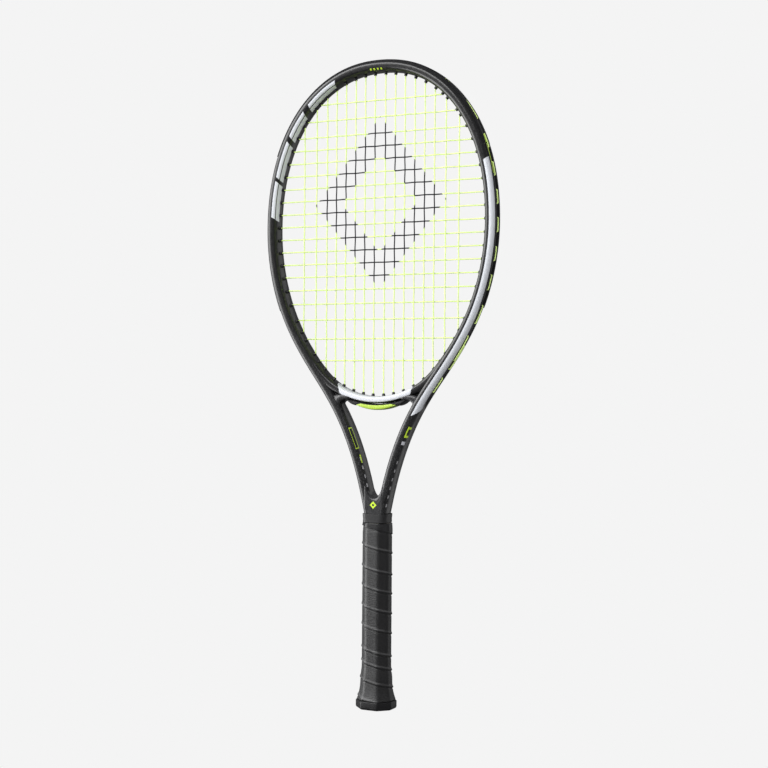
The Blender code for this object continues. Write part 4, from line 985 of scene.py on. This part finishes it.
def make_door():
    """The trap door: a dished plate with a finger notch's rib, and two snap tabs."""
    rings = []
    for size, z in (
        (-0.0030, 0.0010), (-0.0022, 0.0005), (-0.0008, 0.0004), (-0.0002, 0.0006), (0.0, 0.0011)
    ):
        rings.append((grown_octagon(DOOR_SIZE, size), z))
    rings += [(DOOR_SIZE, 0.0027), (grown_octagon(DOOR_SIZE, -0.0003), 0.0030)]
    loops = [[Vector((p.x, p.y, z)) for p in octagon_outline(size, corner=0.0009)] for size, z in rings]
    shapes = [loft_shape(loops)]
    for side in (-1.0, 1.0):
        middle = side * 0.0072
        tab = []
        for z, half, shift in (
            (0.0026, 0.0006, 0), (0.0052, 0.0006, 0), (0.0060, 0.0009, 0.0002), (0.0068, 0.0005, 0)
        ):
            x = middle + side * shift
            corners = ((x - half, -0.0024), (x + half, -0.0024), (x + half, 0.0024), (x - half, 0.0024))
            tab.append([Vector((px, py, z)) for px, py in corners])
        shapes.append(loft_shape(tab))
    return sharpen(turned_outwards(make_object("door_plate", *join_shapes(shapes))), 45)


def tape_loop(z, slant, lift):
    """One loop of the tape; the slanted ones drop towards the right, as the wound end does."""
    loop = []
    size = grown_octagon(under_grip_size(z), CLEARANCE + grip_thickness(z) + lift)
    for point in octagon_outline(size, corner=0.0024):
        turn = max(-0.2, math.atan2(point.x, -point.y) / (2 * math.pi))
        loop.append(Vector((point.x, point.y, z - slant * 0.0135 * turn)))
    return loop


def make_tape():
    """The finishing tape: two turns of thin vinyl, the last laid at a slant."""
    low, high = HANDLE_TOP - TAPE_LENGTH + 0.0042, HANDLE_TOP
    shapes = [(low, 1.0, 0.0001), (low + 0.0002, 1.0, 0.00055), (mix(low, high, 0.35), 0.6, 0.00055)]
    shapes += [(mix(low, high, 0.75), 0.0, 0.00050), (high - 0.0003, 0.0, 0.00050), (high, 0.0, 0.0002)]
    shapes += [(high, 0.0, -0.0001), (low, 1.0, -0.0001)]
    loops = [tape_loop(*shape) for shape in shapes]
    return sharpen(tube_body("tape_band", loops, [z for z, slant, lift in shapes]), 50)


def shaft_outline(z, growth_x, growth_y):
    """The outline round both legs of the hairpin at height z."""
    half_width, half_depth = tube_half_sizes(z)
    spread = path_frame(length_at_height(z))[0].x
    right = []
    for step in range(25):
        angle = math.pi / 2 - math.pi * step / 24
        out, y = rounded(half_width + growth_x, half_depth + growth_y, angle)
        right.append((spread + out, y))
    return right + [(-x, y) for x, y in reversed(right)]


def make_collar():
    """The rubber ring above the grip: roomy enough to slide up the shaft, and flared at its foot."""
    low = HANDLE_TOP + CLEARANCE
    shapes = (
        (0.0, 0.0011), (0.0004, 0.0015), (0.0009, 0.0014), (0.0036, 0.0008), (0.0070, 0.0006),
        (0.0090, 0.0003)
    )
    loops, alongs = [], []
    for rise, growth in shapes:
        outline = shaft_outline(low + rise + COLLAR_LIFT, COLLAR_ROOM + growth, COLLAR_ROOM + growth)
        loops.append([Vector((x, y, low + rise)) for x, y in outline])
        alongs.append(low + rise)
    for rise in (COLLAR_HEIGHT, 0.0060, 0.0030, 0.0):
        outline = shaft_outline(low + rise + COLLAR_LIFT, COLLAR_ROOM - 0.0001, COLLAR_ROOM - 0.0001)
        loops.append([Vector((x, y, low + rise)) for x, y in outline])
        alongs.append(low + rise)
    return sharpen(tube_body("collar_sleeve", loops, alongs), 50)


# ---------------------------------------------------------------- materials


class Looks:
    """A small builder for one material's nodes."""

    def __init__(self, name):
        self.material = bpy.data.materials.new(name)
        self.material.use_nodes = True
        self.tree = self.material.node_tree
        self.shader = self.tree.nodes["Principled BSDF"]

    def node(self, kind, **settings):
        made = self.tree.nodes.new(kind)
        for key, value in settings.items():
            setattr(made, key, value)
        return made

    def put(self, socket, value):
        if isinstance(value, bpy.types.NodeSocket):
            self.tree.links.new(value, socket)
        else:
            socket.default_value = value

    def math(self, operation, first, second=0.0, third=0.0):
        made = self.node("ShaderNodeMath", operation=operation)
        for socket, value in zip(made.inputs, (first, second, third)):
            self.put(socket, value)
        return made.outputs[0]

    def place(self, layer="Place"):
        """The piece's own coordinates: (along, around)."""
        made = self.node("ShaderNodeUVMap", uv_map=layer)
        split = self.node("ShaderNodeSeparateXYZ")
        self.put(split.inputs[0], made.outputs[0])
        return split.outputs[0], split.outputs[1]

    def position(self):
        made = self.node("ShaderNodeTexCoord")
        split = self.node("ShaderNodeSeparateXYZ")
        self.put(split.inputs[0], made.outputs["Object"])
        return split.outputs[0], split.outputs[1], split.outputs[2], made.outputs["Object"]

    def over(self, value, edge, soft):
        """0 below the edge and 1 above it."""
        made = self.node("ShaderNodeMapRange", interpolation_type="SMOOTHSTEP")
        low = self.math("SUBTRACT", edge, soft) if isinstance(edge, bpy.types.NodeSocket) else edge - soft
        high = self.math("ADD", edge, soft) if isinstance(edge, bpy.types.NodeSocket) else edge + soft
        for socket, number in zip(made.inputs, (value, low, high, 0.0, 1.0)):
            self.put(socket, number)
        return made.outputs[0]

    def band(self, value, low, high, soft):
        """1 between low and high."""
        rising = self.over(value, low, soft)
        falling = self.over(value, high, soft)
        return self.math("SUBTRACT", rising, falling)

    def both(self, first, *others):
        for other in others:
            first = self.math("MULTIPLY", first, other)
        return first

    def either(self, first, *others):
        for other in others:
            first = self.math("MAXIMUM", first, other)
        return first

    def without(self, value):
        return self.math("SUBTRACT", 1.0, value)

    def color(self, share, first, second):
        made = self.node("ShaderNodeMix", data_type="RGBA")
        self.put(made.inputs[0], share)
        for socket, value in ((made.inputs[6], first), (made.inputs[7], second)):
            self.put(socket, (*value, 1.0) if isinstance(value, tuple) else value)
        return made.outputs[2]

    def between(self, share, low, high):
        made = self.node("ShaderNodeMapRange")
        for socket, number in zip(made.inputs, (share, 0.0, 1.0, low, high)):
            self.put(socket, number)
        return made.outputs[0]

    def noise(self, scale, detail=3.0, vector=None, roughness=0.5):
        made = self.node("ShaderNodeTexNoise")
        made.inputs["Scale"].default_value = scale
        made.inputs["Detail"].default_value = detail
        made.inputs["Roughness"].default_value = roughness
        self.put(made.inputs["Vector"], vector or self.position()[3])
        return made.outputs[0]

    def cells(self, scale, vector=None, feature="F1"):
        made = self.node("ShaderNodeTexVoronoi", feature=feature)
        made.inputs["Scale"].default_value = scale
        self.put(made.inputs["Vector"], vector or self.position()[3])
        return made.outputs[0]

    def bump(self, height, distance, strength=1.0):
        made = self.node("ShaderNodeBump")
        made.inputs["Distance"].default_value = distance
        made.inputs["Strength"].default_value = strength
        self.put(made.inputs["Height"], height)
        self.put(self.shader.inputs["Normal"], made.outputs[0])

    def set(self, **values):
        names = {
            "color": "Base Color", "roughness": "Roughness", "metallic": "Metallic",
            "coat": "Coat Weight"
        }
        names.update(
            {
                "coat_roughness": "Coat Roughness", "specular": "Specular IOR Level",
                "sheen": "Sheen Weight"
            }
        )
        for key, value in values.items():
            if isinstance(value, tuple) and len(value) == 3:
                value = (*value, 1.0)
            self.put(self.shader.inputs[names[key]], value)

    def give(self, *items):
        for item in items:
            item.data.materials.clear()
            item.data.materials.append(self.material)


CHARCOAL = (0.0045, 0.0045, 0.005)
PALE_CHARCOAL = (0.018, 0.018, 0.0185)
FLAKE = (0.075, 0.075, 0.077)
WHITE_PAINT = (0.64, 0.66, 0.70)
LIME = (0.56, 0.78, 0.045)
BLACK = (0.004, 0.004, 0.0045)


def s_at(z):
    return length_at_height(z)


def frame_paint():
    """Charcoal lacquer with fine flake, and the painted bands of the frame."""
    looks = Looks("frame_lacquer")
    along, around = looks.place()
    sign = looks.math("SIGN", around)
    side = looks.math("MULTIPLY", along, sign)
    facing = looks.math("ABSOLUTE", around)
    flake = looks.noise(5200.0, 2.0)
    cloud = looks.noise(420.0, 4.0)
    speck = looks.math("MULTIPLY_ADD", flake, 0.75, looks.math("MULTIPLY", cloud, 0.45))
    base = looks.color(looks.over(speck, 0.62, 0.16), CHARCOAL, PALE_CHARCOAL)
    arms = looks.over(looks.math("ABSOLUTE", along), s_at(0.3300), 0.0350)
    coarse = looks.over(looks.noise(1250.0, 2.0), 0.60, 0.07)
    base = looks.color(looks.both(coarse, arms, 0.55), base, FLAKE)

    # white band down the right side's outer front
    start = looks.over(looks.math("MULTIPLY_ADD", facing, -0.0075, side), s_at(0.5526) - 0.00075, 0.0003)
    stop = looks.over(looks.math("MULTIPLY_ADD", facing, -0.0225, side), s_at(0.3058) - 0.00225, 0.0003)
    white = looks.both(start, looks.without(stop), looks.band(facing, 0.02, 0.475, 0.006))

    # pale blocks inside the left side's front
    blocks = None
    for high, low in BLOCK_SPANS:
        shifted = looks.math("MULTIPLY_ADD", facing, 0.010, side)
        block = looks.band(shifted, -s_at(low) + 0.0075, -s_at(high) + 0.0075, 0.0003)
        blocks = looks.either(blocks, block) if blocks else block
    slot = looks.band(facing, 0.735, 0.785, 0.004)
    blocks = looks.both(blocks, looks.band(facing, 0.535, 0.975, 0.006), looks.without(slot))

    # small lime ticks inside the tip, and dashes down both arms
    tick = looks.math("PINGPONG", looks.math("ADD", side, 0.0089), 0.0020)
    ticks = looks.both(looks.over(tick, 0.0011, 0.0002), looks.band(side, -0.0089, 0.0065, 0.0002))
    ticks = looks.both(ticks, looks.band(facing, 0.62, 0.75, 0.006))
    dash = looks.math("PINGPONG", side, 0.0046)
    dashes = looks.both(looks.over(dash, 0.0030, 0.0003), looks.band(facing, 0.17, 0.24, 0.006))
    dashes = looks.both(dashes, looks.band(side, s_at(0.2570), s_at(0.2030), 0.0003))
    left_dash = looks.both(looks.over(dash, 0.0028, 0.0003), looks.band(facing, 0.76, 0.84, 0.006))
    left_dash = looks.both(left_dash, looks.band(side, -s_at(0.2100), -s_at(0.2560), 0.0003))
    hook = looks.both(
        looks.band(side, s_at(0.2885), s_at(0.2775), 0.0003), looks.band(facing, 0.10, 0.33, 0.006)
    )
    hook_gap = looks.both(
        looks.band(side, s_at(0.2862), s_at(0.2798), 0.0003), looks.band(facing, 0.0, 0.255, 0.006)
    )
    hook = looks.both(hook, looks.without(hook_gap))
    bar = looks.both(
        looks.band(side, s_at(0.2735), s_at(0.2700), 0.0003), looks.band(facing, 0.14, 0.34, 0.006)
    )
    ring_outer = looks.both(
        looks.band(side, -s_at(0.2620), -s_at(0.2830), 0.0004), looks.band(facing, 0.70, 0.90, 0.006)
    )
    ring_inner = looks.both(
        looks.band(side, -s_at(0.2628), -s_at(0.2822), 0.0004), looks.band(facing, 0.72, 0.88, 0.006)
    )
    ring = looks.both(ring_outer, looks.without(ring_inner))
    left_bar = looks.both(
        looks.band(side, -s_at(0.2480), -s_at(0.2560), 0.0003), looks.band(facing, 0.80, 0.86, 0.006)
    )

    paint = looks.color(looks.either(white, blocks), base, WHITE_PAINT)
    paint = looks.color(looks.either(dashes, left_dash), paint, (0.30, 0.30, 0.31))
    paint = looks.color(bar, paint, (0.55, 0.56, 0.60))
    paint = looks.color(looks.either(ticks, hook, ring, left_bar), paint, LIME)
    scuff = looks.over(looks.noise(900.0, 6.0), 0.70, 0.05)
    paint = looks.color(looks.math("MULTIPLY", scuff, 0.25), paint, (0.10, 0.10, 0.10))
    rough = looks.between(looks.noise(260.0, 5.0), 0.24, 0.40)
    looks.set(color=paint, roughness=rough, specular=0.5, coat=0.35, coat_roughness=0.12)
    looks.bump(
        looks.math("ADD", looks.noise(2600.0, 2.0), looks.math("MULTIPLY", looks.noise(90.0, 2.0), 2.0)),
        0.00003
    )
    return looks


BLOCK_SPANS = ((0.6418, 0.6184), (0.6117, 0.5868), (0.5814, 0.5444), (0.5403, 0.5023))


def yoke_paint():
    """The same lacquer with a plain lime diamond on the front and the back."""
    looks = Looks("yoke_lacquer")
    x, y, z, where = looks.position()
    speck = looks.math(
        "MULTIPLY_ADD", looks.noise(5200.0, 2.0), 0.75,
        looks.math("MULTIPLY", looks.noise(420.0, 4.0), 0.45)
    )
    base = looks.color(looks.over(speck, 0.62, 0.16), (0.014, 0.014, 0.015), (0.040, 0.040, 0.042))
    reach = looks.math(
        "ADD", looks.math("ABSOLUTE", x), looks.math("ABSOLUTE", looks.math("SUBTRACT", z, 0.2070))
    )
    diamond = looks.band(reach, 0.0016, 0.0037, 0.0002)
    diamond = looks.both(diamond, looks.over(looks.math("ABSOLUTE", y), 0.0080, 0.0002))
    paint = looks.color(diamond, base, LIME)
    looks.set(color=paint, roughness=looks.between(looks.noise(260.0, 5.0), 0.26, 0.42), specular=0.5)
    looks.set(coat=0.35, coat_roughness=0.12)
    looks.bump(looks.noise(2600.0, 2.0), 0.00003)
    return looks


def bridge_paint():
    """White over the bridge's front and inner side, charcoal underneath and at its ends."""
    looks = Looks("bridge_lacquer")
    along, around = looks.place()
    facing = looks.math("ABSOLUTE", around)
    reach = looks.math("ABSOLUTE", along)
    speck = looks.noise(5200.0, 2.0)
    dark = looks.color(looks.over(speck, 0.55, 0.15), CHARCOAL, PALE_CHARCOAL)
    pale = looks.color(looks.noise(300.0, 4.0), (0.57, 0.585, 0.62), WHITE_PAINT)
    ends = looks.over(looks.math("MULTIPLY_ADD", facing, -0.016, reach), 0.0330, 0.0003)
    white = looks.both(looks.over(facing, 0.33, 0.008), looks.without(ends))
    line = looks.band(facing, 0.24, 0.28, 0.006)
    paint = looks.color(white, dark, pale)
    paint = looks.color(looks.math("MULTIPLY", line, looks.without(ends)), paint, BLACK)
    looks.set(color=paint, roughness=looks.between(looks.noise(260.0, 5.0), 0.26, 0.40), specular=0.5)
    looks.set(coat=0.3, coat_roughness=0.12)
    looks.bump(looks.noise(2600.0, 2.0), 0.00003)
    return looks


def nylon(name):
    """Moulded black nylon with a fine grain, scuffed a little."""
    looks = Looks(name)
    x, y, z, where = looks.position()
    grain = looks.noise(3200.0, 3.0)
    paint = looks.color(looks.noise(500.0, 4.0), (0.006, 0.006, 0.0065), (0.012, 0.012, 0.013))
    scuff = looks.over(looks.noise(1400.0, 5.0), 0.66, 0.05)
    paint = looks.color(looks.math("MULTIPLY", scuff, 0.4), paint, (0.05, 0.05, 0.05))
    front = looks.math("MULTIPLY", y, looks.math("SIGN", x))
    inlay = looks.both(looks.band(z, 0.5373, 0.5764, 0.0002), looks.band(front, -0.0049, -0.0031, 0.0002))
    inlay = looks.both(inlay, looks.over(looks.math("ABSOLUTE", x), 0.0500, 0.0010))
    paint = looks.color(
        inlay, paint, looks.color(looks.noise(800.0, 3.0), (0.34, 0.50, 0.03), (0.42, 0.60, 0.04))
    )
    looks.set(color=paint, roughness=looks.between(looks.noise(900.0, 4.0), 0.36, 0.52), specular=0.45)
    looks.bump(grain, 0.00005)
    return looks


def string_looks(name):
    """Lime polyester with faint streaks along it, a faint painted glow in its own colour, and a plain black
    diamond stencilled on the bed.
    """
    looks = Looks(name)
    x, y, z, where = looks.position()
    streak = looks.noise(2400.0, 3.0)
    lime = looks.color(streak, (0.58, 0.76, 0.21), (0.68, 0.86, 0.31))
    wide = looks.math("ABSOLUTE", looks.math("SUBTRACT", x, STENCIL_MIDDLE[0]))
    tall = looks.math("ABSOLUTE", looks.math("SUBTRACT", z, STENCIL_MIDDLE[1]))
    distance = looks.math(
        "ADD", looks.math("DIVIDE", wide, STENCIL_HALF[0]),
        looks.math("DIVIDE", tall, STENCIL_HALF[1])
    )
    mark = looks.band(distance, STENCIL_HOLE, 1.0, 0.012)
    ink = looks.color(looks.noise(3000.0, 3.0), (0.004, 0.004, 0.005), (0.014, 0.014, 0.017))
    patchy_share = looks.math(
        "MULTIPLY", mark, looks.between(looks.over(looks.noise(2000.0, 3.0), 0.30, 0.06), 0.93, 1.0)
    )
    paint = looks.color(patchy_share, lime, ink)
    looks.set(color=paint, roughness=looks.between(looks.noise(1800.0, 3.0), 0.28, 0.44))
    looks.set(specular=looks.between(patchy_share, 0.5, 0.12))
    # Painted light: the strings glow faintly in their own colour, though they are no lamp.
    looks.put(looks.shader.inputs["Emission Color"], paint)
    looks.shader.inputs["Emission Strength"].default_value = 0.10
    looks.bump(looks.noise(5000.0, 2.0), 0.00002)
    return looks


STENCIL_MIDDLE = (0.000, 0.5150)
STENCIL_HALF = (0.074, 0.088)
STENCIL_HOLE = 0.58


def grip_leather():
    """Dark synthetic leather: fine pores, rows of pin holes, and small wrinkles beside the seams, with a
    painted highlight along each lap's lip and painted shade along each seam.
    """
    looks = Looks("grip_leather")
    along, around = looks.place()
    x, y, z, where = looks.position()
    pores = looks.cells(2600.0)
    fine = looks.noise(1600.0, 6.0)
    cloud = looks.noise(120.0, 4.0)
    tone = looks.color(cloud, (0.0065, 0.0065, 0.007), (0.010, 0.010, 0.0105))
    tone = looks.color(looks.over(fine, 0.60, 0.12), tone, (0.016, 0.016, 0.0165))
    above, below = looks.place("Lap")
    # Painted highlight: a lighter tint in patches along each lap's lip just above its seam, for the light the
    # upward-facing lip catches.
    patchy_share = looks.both(
        looks.band(above, 0.0019, 0.0034, 0.0006), looks.over(looks.noise(110.0, 3.0), 0.40, 0.14)
    )
    tone = looks.color(looks.math("MULTIPLY", patchy_share, 0.55), tone, (0.070, 0.070, 0.072))
    # Painted shade: darker along each seam, where the wrap drops in under the next turn.
    seam_shade = looks.either(
        looks.without(looks.over(above, 0.0006, 0.0003)),
        looks.without(looks.over(below, 0.0006, 0.0003))
    )
    tone = looks.color(seam_shade, tone, (0.0025, 0.0025, 0.0027))
    wrinkle = looks.node("ShaderNodeTexWave", wave_type="BANDS", bands_direction="Z")
    wrinkle.inputs["Scale"].default_value = 210.0
    wrinkle.inputs["Distortion"].default_value = 3.0
    wrinkle.inputs["Detail"].default_value = 2.0
    looks.put(wrinkle.inputs["Vector"], where)
    patch = looks.over(looks.noise(60.0, 2.0), 0.52, 0.10)
    height = looks.math("MULTIPLY", pores, 0.35)
    height = looks.math("ADD", height, looks.math("MULTIPLY", fine, 0.5))
    height = looks.math("ADD", height, looks.both(wrinkle.outputs[0], patch, 0.9))
    rib = looks.math(
        "SINE", looks.math("MULTIPLY", looks.math("MULTIPLY_ADD", around, 0.020, along), 2900.0)
    )
    height = looks.math(
        "ADD", height, looks.both(rib, looks.over(looks.noise(45.0, 2.0), 0.48, 0.10), 0.22)
    )
    looks.set(color=tone, roughness=looks.between(fine, 0.46, 0.60), specular=0.95)
    looks.bump(height, 0.00012)
    return looks


def plain_polymer(name, dark, light, rough, grain_scale, depth, specular=0.5):
    """A moulded polymer: two close tones in clouds, a fine grain and uneven gloss."""
    looks = Looks(name)
    tone = looks.color(looks.noise(grain_scale * 0.15, 4.0), dark, light)
    flecks = looks.over(looks.noise(grain_scale * 0.5, 5.0), 0.68, 0.06)
    tone = looks.color(
        looks.math("MULTIPLY", flecks, 0.3), tone, tuple(min(1.0, 2.2 * part) for part in light)
    )
    looks.set(
        color=tone,
        roughness=looks.between(looks.noise(grain_scale * 0.3, 4.0), rough - 0.07, rough + 0.09)
    )
    looks.set(specular=specular)
    looks.bump(looks.noise(grain_scale, 3.0), depth)
    return looks


def steel_looks():
    looks = Looks("staple_wire")
    tone = looks.color(looks.noise(2500.0, 3.0), (0.52, 0.52, 0.53), (0.68, 0.68, 0.69))
    looks.set(color=tone, roughness=looks.between(looks.noise(1500.0, 3.0), 0.22, 0.38), metallic=1.0)
    looks.bump(looks.noise(4000.0, 2.0), 0.00002)
    return looks


# ---------------------------------------------------------------- stage


def face_towards(item, target):
    item.rotation_mode = "QUATERNION"
    item.rotation_quaternion = (Vector(target) - item.location).to_track_quat("-Z", "Y")


def add_light(name, azimuth, elevation, distance, size, radiance, mirrored=True):
    """A soft panel that shines at the racket's middle; azimuth 0 is in front of the face."""
    width, height = size
    data = bpy.data.lights.new(name, "AREA")
    data.shape = "RECTANGLE"
    data.size, data.size_y = width, height
    data.energy = radiance * math.pi * width * height
    item = bpy.data.objects.new(name, data)
    turn, rise = math.radians(azimuth), math.radians(elevation)
    flat = distance * math.cos(rise)
    item.location = (flat * math.sin(turn), -flat * math.cos(turn), AIM[2] + distance * math.sin(rise))
    face_towards(item, AIM)
    item.visible_camera = False
    item.visible_glossy = mirrored
    bpy.context.scene.collection.objects.link(item)


AIM = (0.0, 0.0, 0.36)
PALE = 0.905


def make_world():
    world = bpy.data.worlds.new("studio")
    world.use_nodes = True
    tree = world.node_tree
    tree.nodes.clear()
    output = tree.nodes.new("ShaderNodeOutputWorld")
    backdrop = tree.nodes.new("ShaderNodeBackground")
    backdrop.inputs["Color"].default_value = (PALE, PALE, PALE, 1.0)
    room = tree.nodes.new("ShaderNodeBackground")
    room.inputs["Color"].default_value = (0.13, 0.13, 0.133, 1.0)
    chooser = tree.nodes.new("ShaderNodeMixShader")
    rays = tree.nodes.new("ShaderNodeLightPath")
    tree.links.new(rays.outputs["Is Camera Ray"], chooser.inputs[0])
    tree.links.new(room.outputs[0], chooser.inputs[1])
    tree.links.new(backdrop.outputs[0], chooser.inputs[2])
    tree.links.new(chooser.outputs[0], output.inputs[0])
    bpy.context.scene.world = world


def make_floor():
    """A plain pale floor that the butt rests on."""
    half = 6.0
    corners = [
        (-half, -half, -0.0002), (half, -half, -0.0002), (half, half, -0.0002), (-half, half, -0.0002)
    ]
    floor = make_object("floor", corners, [(0, 1, 2, 3)])
    looks = Looks("floor_paper")
    looks.tree.nodes.clear()
    output = looks.node("ShaderNodeOutputMaterial")
    glow = looks.node("ShaderNodeEmission")
    glow.inputs["Color"].default_value = (PALE, PALE, PALE, 1.0)
    clear = looks.node("ShaderNodeBsdfTransparent")
    chooser = looks.node("ShaderNodeMixShader")
    under = looks.node("ShaderNodeNewGeometry")
    looks.put(chooser.inputs[0], under.outputs["Backfacing"])
    looks.put(chooser.inputs[1], glow.outputs[0])
    looks.put(chooser.inputs[2], clear.outputs[0])
    looks.put(output.inputs[0], chooser.outputs[0])
    looks.give(floor)
    floor.visible_glossy = False
    floor.visible_diffuse = False


def make_camera():
    data = bpy.data.cameras.new("camera")
    camera = bpy.data.objects.new("camera", data)
    bpy.context.scene.collection.objects.link(camera)
    turn = math.radians(26.0)
    distance = 1.46455
    camera.location = (distance * math.sin(turn), -distance * math.cos(turn), 0.3248)
    data.lens = 36.0 * 1435.76 / 768.0
    data.sensor_width = 36.0
    data.shift_x = 5.5 / 768.0
    level = Matrix.Rotation(turn, 3, "Z") @ Matrix.Rotation(math.pi / 2 + 0.00338, 3, "X")
    camera.rotation_euler = (level @ Matrix.Rotation(0.00738, 3, "Z")).to_euler()
    bpy.context.scene.camera = camera


# ---------------------------------------------------------------- the racket

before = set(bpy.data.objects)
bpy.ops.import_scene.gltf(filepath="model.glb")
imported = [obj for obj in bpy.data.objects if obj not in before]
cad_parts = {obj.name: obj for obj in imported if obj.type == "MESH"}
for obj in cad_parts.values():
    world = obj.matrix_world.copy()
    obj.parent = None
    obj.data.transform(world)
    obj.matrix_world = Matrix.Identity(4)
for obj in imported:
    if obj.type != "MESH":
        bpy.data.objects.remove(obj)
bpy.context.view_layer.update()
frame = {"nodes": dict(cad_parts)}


def add_piece(item, body, slot_name, *nodes):
    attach(item, body)
    if nodes:
        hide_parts(*nodes)
    return item


tube = add_piece(make_frame(), "racket", "frame_paint", "frame_hairpin")
yoke = add_piece(make_yoke(), "racket", "frame_paint")
gussets = []
for side, side_name in ((-1, "left"), (1, "right")):
    for face, face_name in ((-1, "front"), (1, "back")):
        gusset = make_gusset(f"gusset_{side_name}_{face_name}", side, face)
        gussets.append(add_piece(gusset, "racket", "frame_paint"))
bridge = add_piece(make_bridge(), "racket", "bridge_paint", "throat_bridge")
guard = add_piece(make_guard(), "racket", "black_nylon", "bumper_guard")
left_strip = add_piece(make_side_strip("strip_left", -1), "racket", "black_nylon", "grommet_strip_left")
right_strip = add_piece(make_side_strip("strip_right", 1), "racket", "black_nylon", "grommet_strip_right")
throat_strip = add_piece(make_throat_strip(), "racket", "black_nylon", "throat_grommet_strip")
crescent = add_piece(make_insert(), "racket", "lime_plastic", "throat_insert")
seat = add_piece(make_insert_seat(), "racket", "black_nylon")
mains = add_piece(make_mains(), "racket", "string", "main_string")
crosses = add_piece(make_crosses(), "racket", "string", "cross_string")
grip = add_piece(make_grip(), "racket", "grip", "grip_wrap")
cap = add_piece(make_cap(), "racket", "cap_plastic", "butt_cap")
tape = add_piece(make_tape(), "racket", "finishing_vinyl", "finishing_tape")
door = add_piece(make_door(), "trap_door", "cap_plastic", "trap_door")
collar = add_piece(make_collar(), "collar", "collar_rubber", "rubber_collar")

frame_paint().give(tube)
yoke_paint().give(yoke, *gussets)
bridge_paint().give(bridge)
nylon("strip_nylon").give(guard, left_strip, right_strip)
nylon("throat_nylon").give(throat_strip, seat)
plain_polymer(
    "lime_plastic", (0.37, 0.53, 0.06), (0.45, 0.63, 0.08), 0.34, 2600.0, 0.00003
).give(crescent)
string_looks("main_string").give(mains)
string_looks("cross_string").give(crosses)
grip_leather().give(grip)
plain_polymer(
    "cap_plastic", (0.006, 0.006, 0.0065), (0.010, 0.010, 0.011), 0.44, 3000.0, 0.00004
).give(cap, door)
plain_polymer(
    "tape_vinyl", (0.013, 0.013, 0.0135), (0.020, 0.020, 0.021), 0.36, 1500.0, 0.00003
).give(tape)
plain_polymer(
    "collar_rubber", (0.015, 0.015, 0.0155), (0.022, 0.022, 0.023), 0.40, 2000.0, 0.00003
).give(collar)

nodes = frame["nodes"]
foam = plain_polymer("handle_foam", (0.26, 0.24, 0.20), (0.34, 0.32, 0.27), 0.82, 1800.0, 0.0002, 0.3)
foam.give(nodes["handle_shell_front"], nodes["handle_shell_back"])
foam.give(nodes["shank_plug_left"], nodes["shank_plug_right"])
steel_looks().give(nodes["cap_staple_left"], nodes["cap_staple_right"])

make_world()
make_floor()
add_light("left_panel", -64.0, 5.0, 1.6, (1.45, 2.4), 4.4)
add_light("right_panel", 148.0, 6.0, 1.6, (0.8, 2.2), 0.5)
add_light("top_panel", -26.0, 46.0, 1.7, (1.5, 0.7), 5.0)
add_light("soft_fill", 28.0, 14.0, 1.8, (1.7, 1.7), 3.4, mirrored=False)
add_light("rear_fill", 212.0, 10.0, 1.8, (1.7, 1.7), 1.5, mirrored=False)
make_camera()
bpy.context.scene.view_settings.view_transform = "Standard"
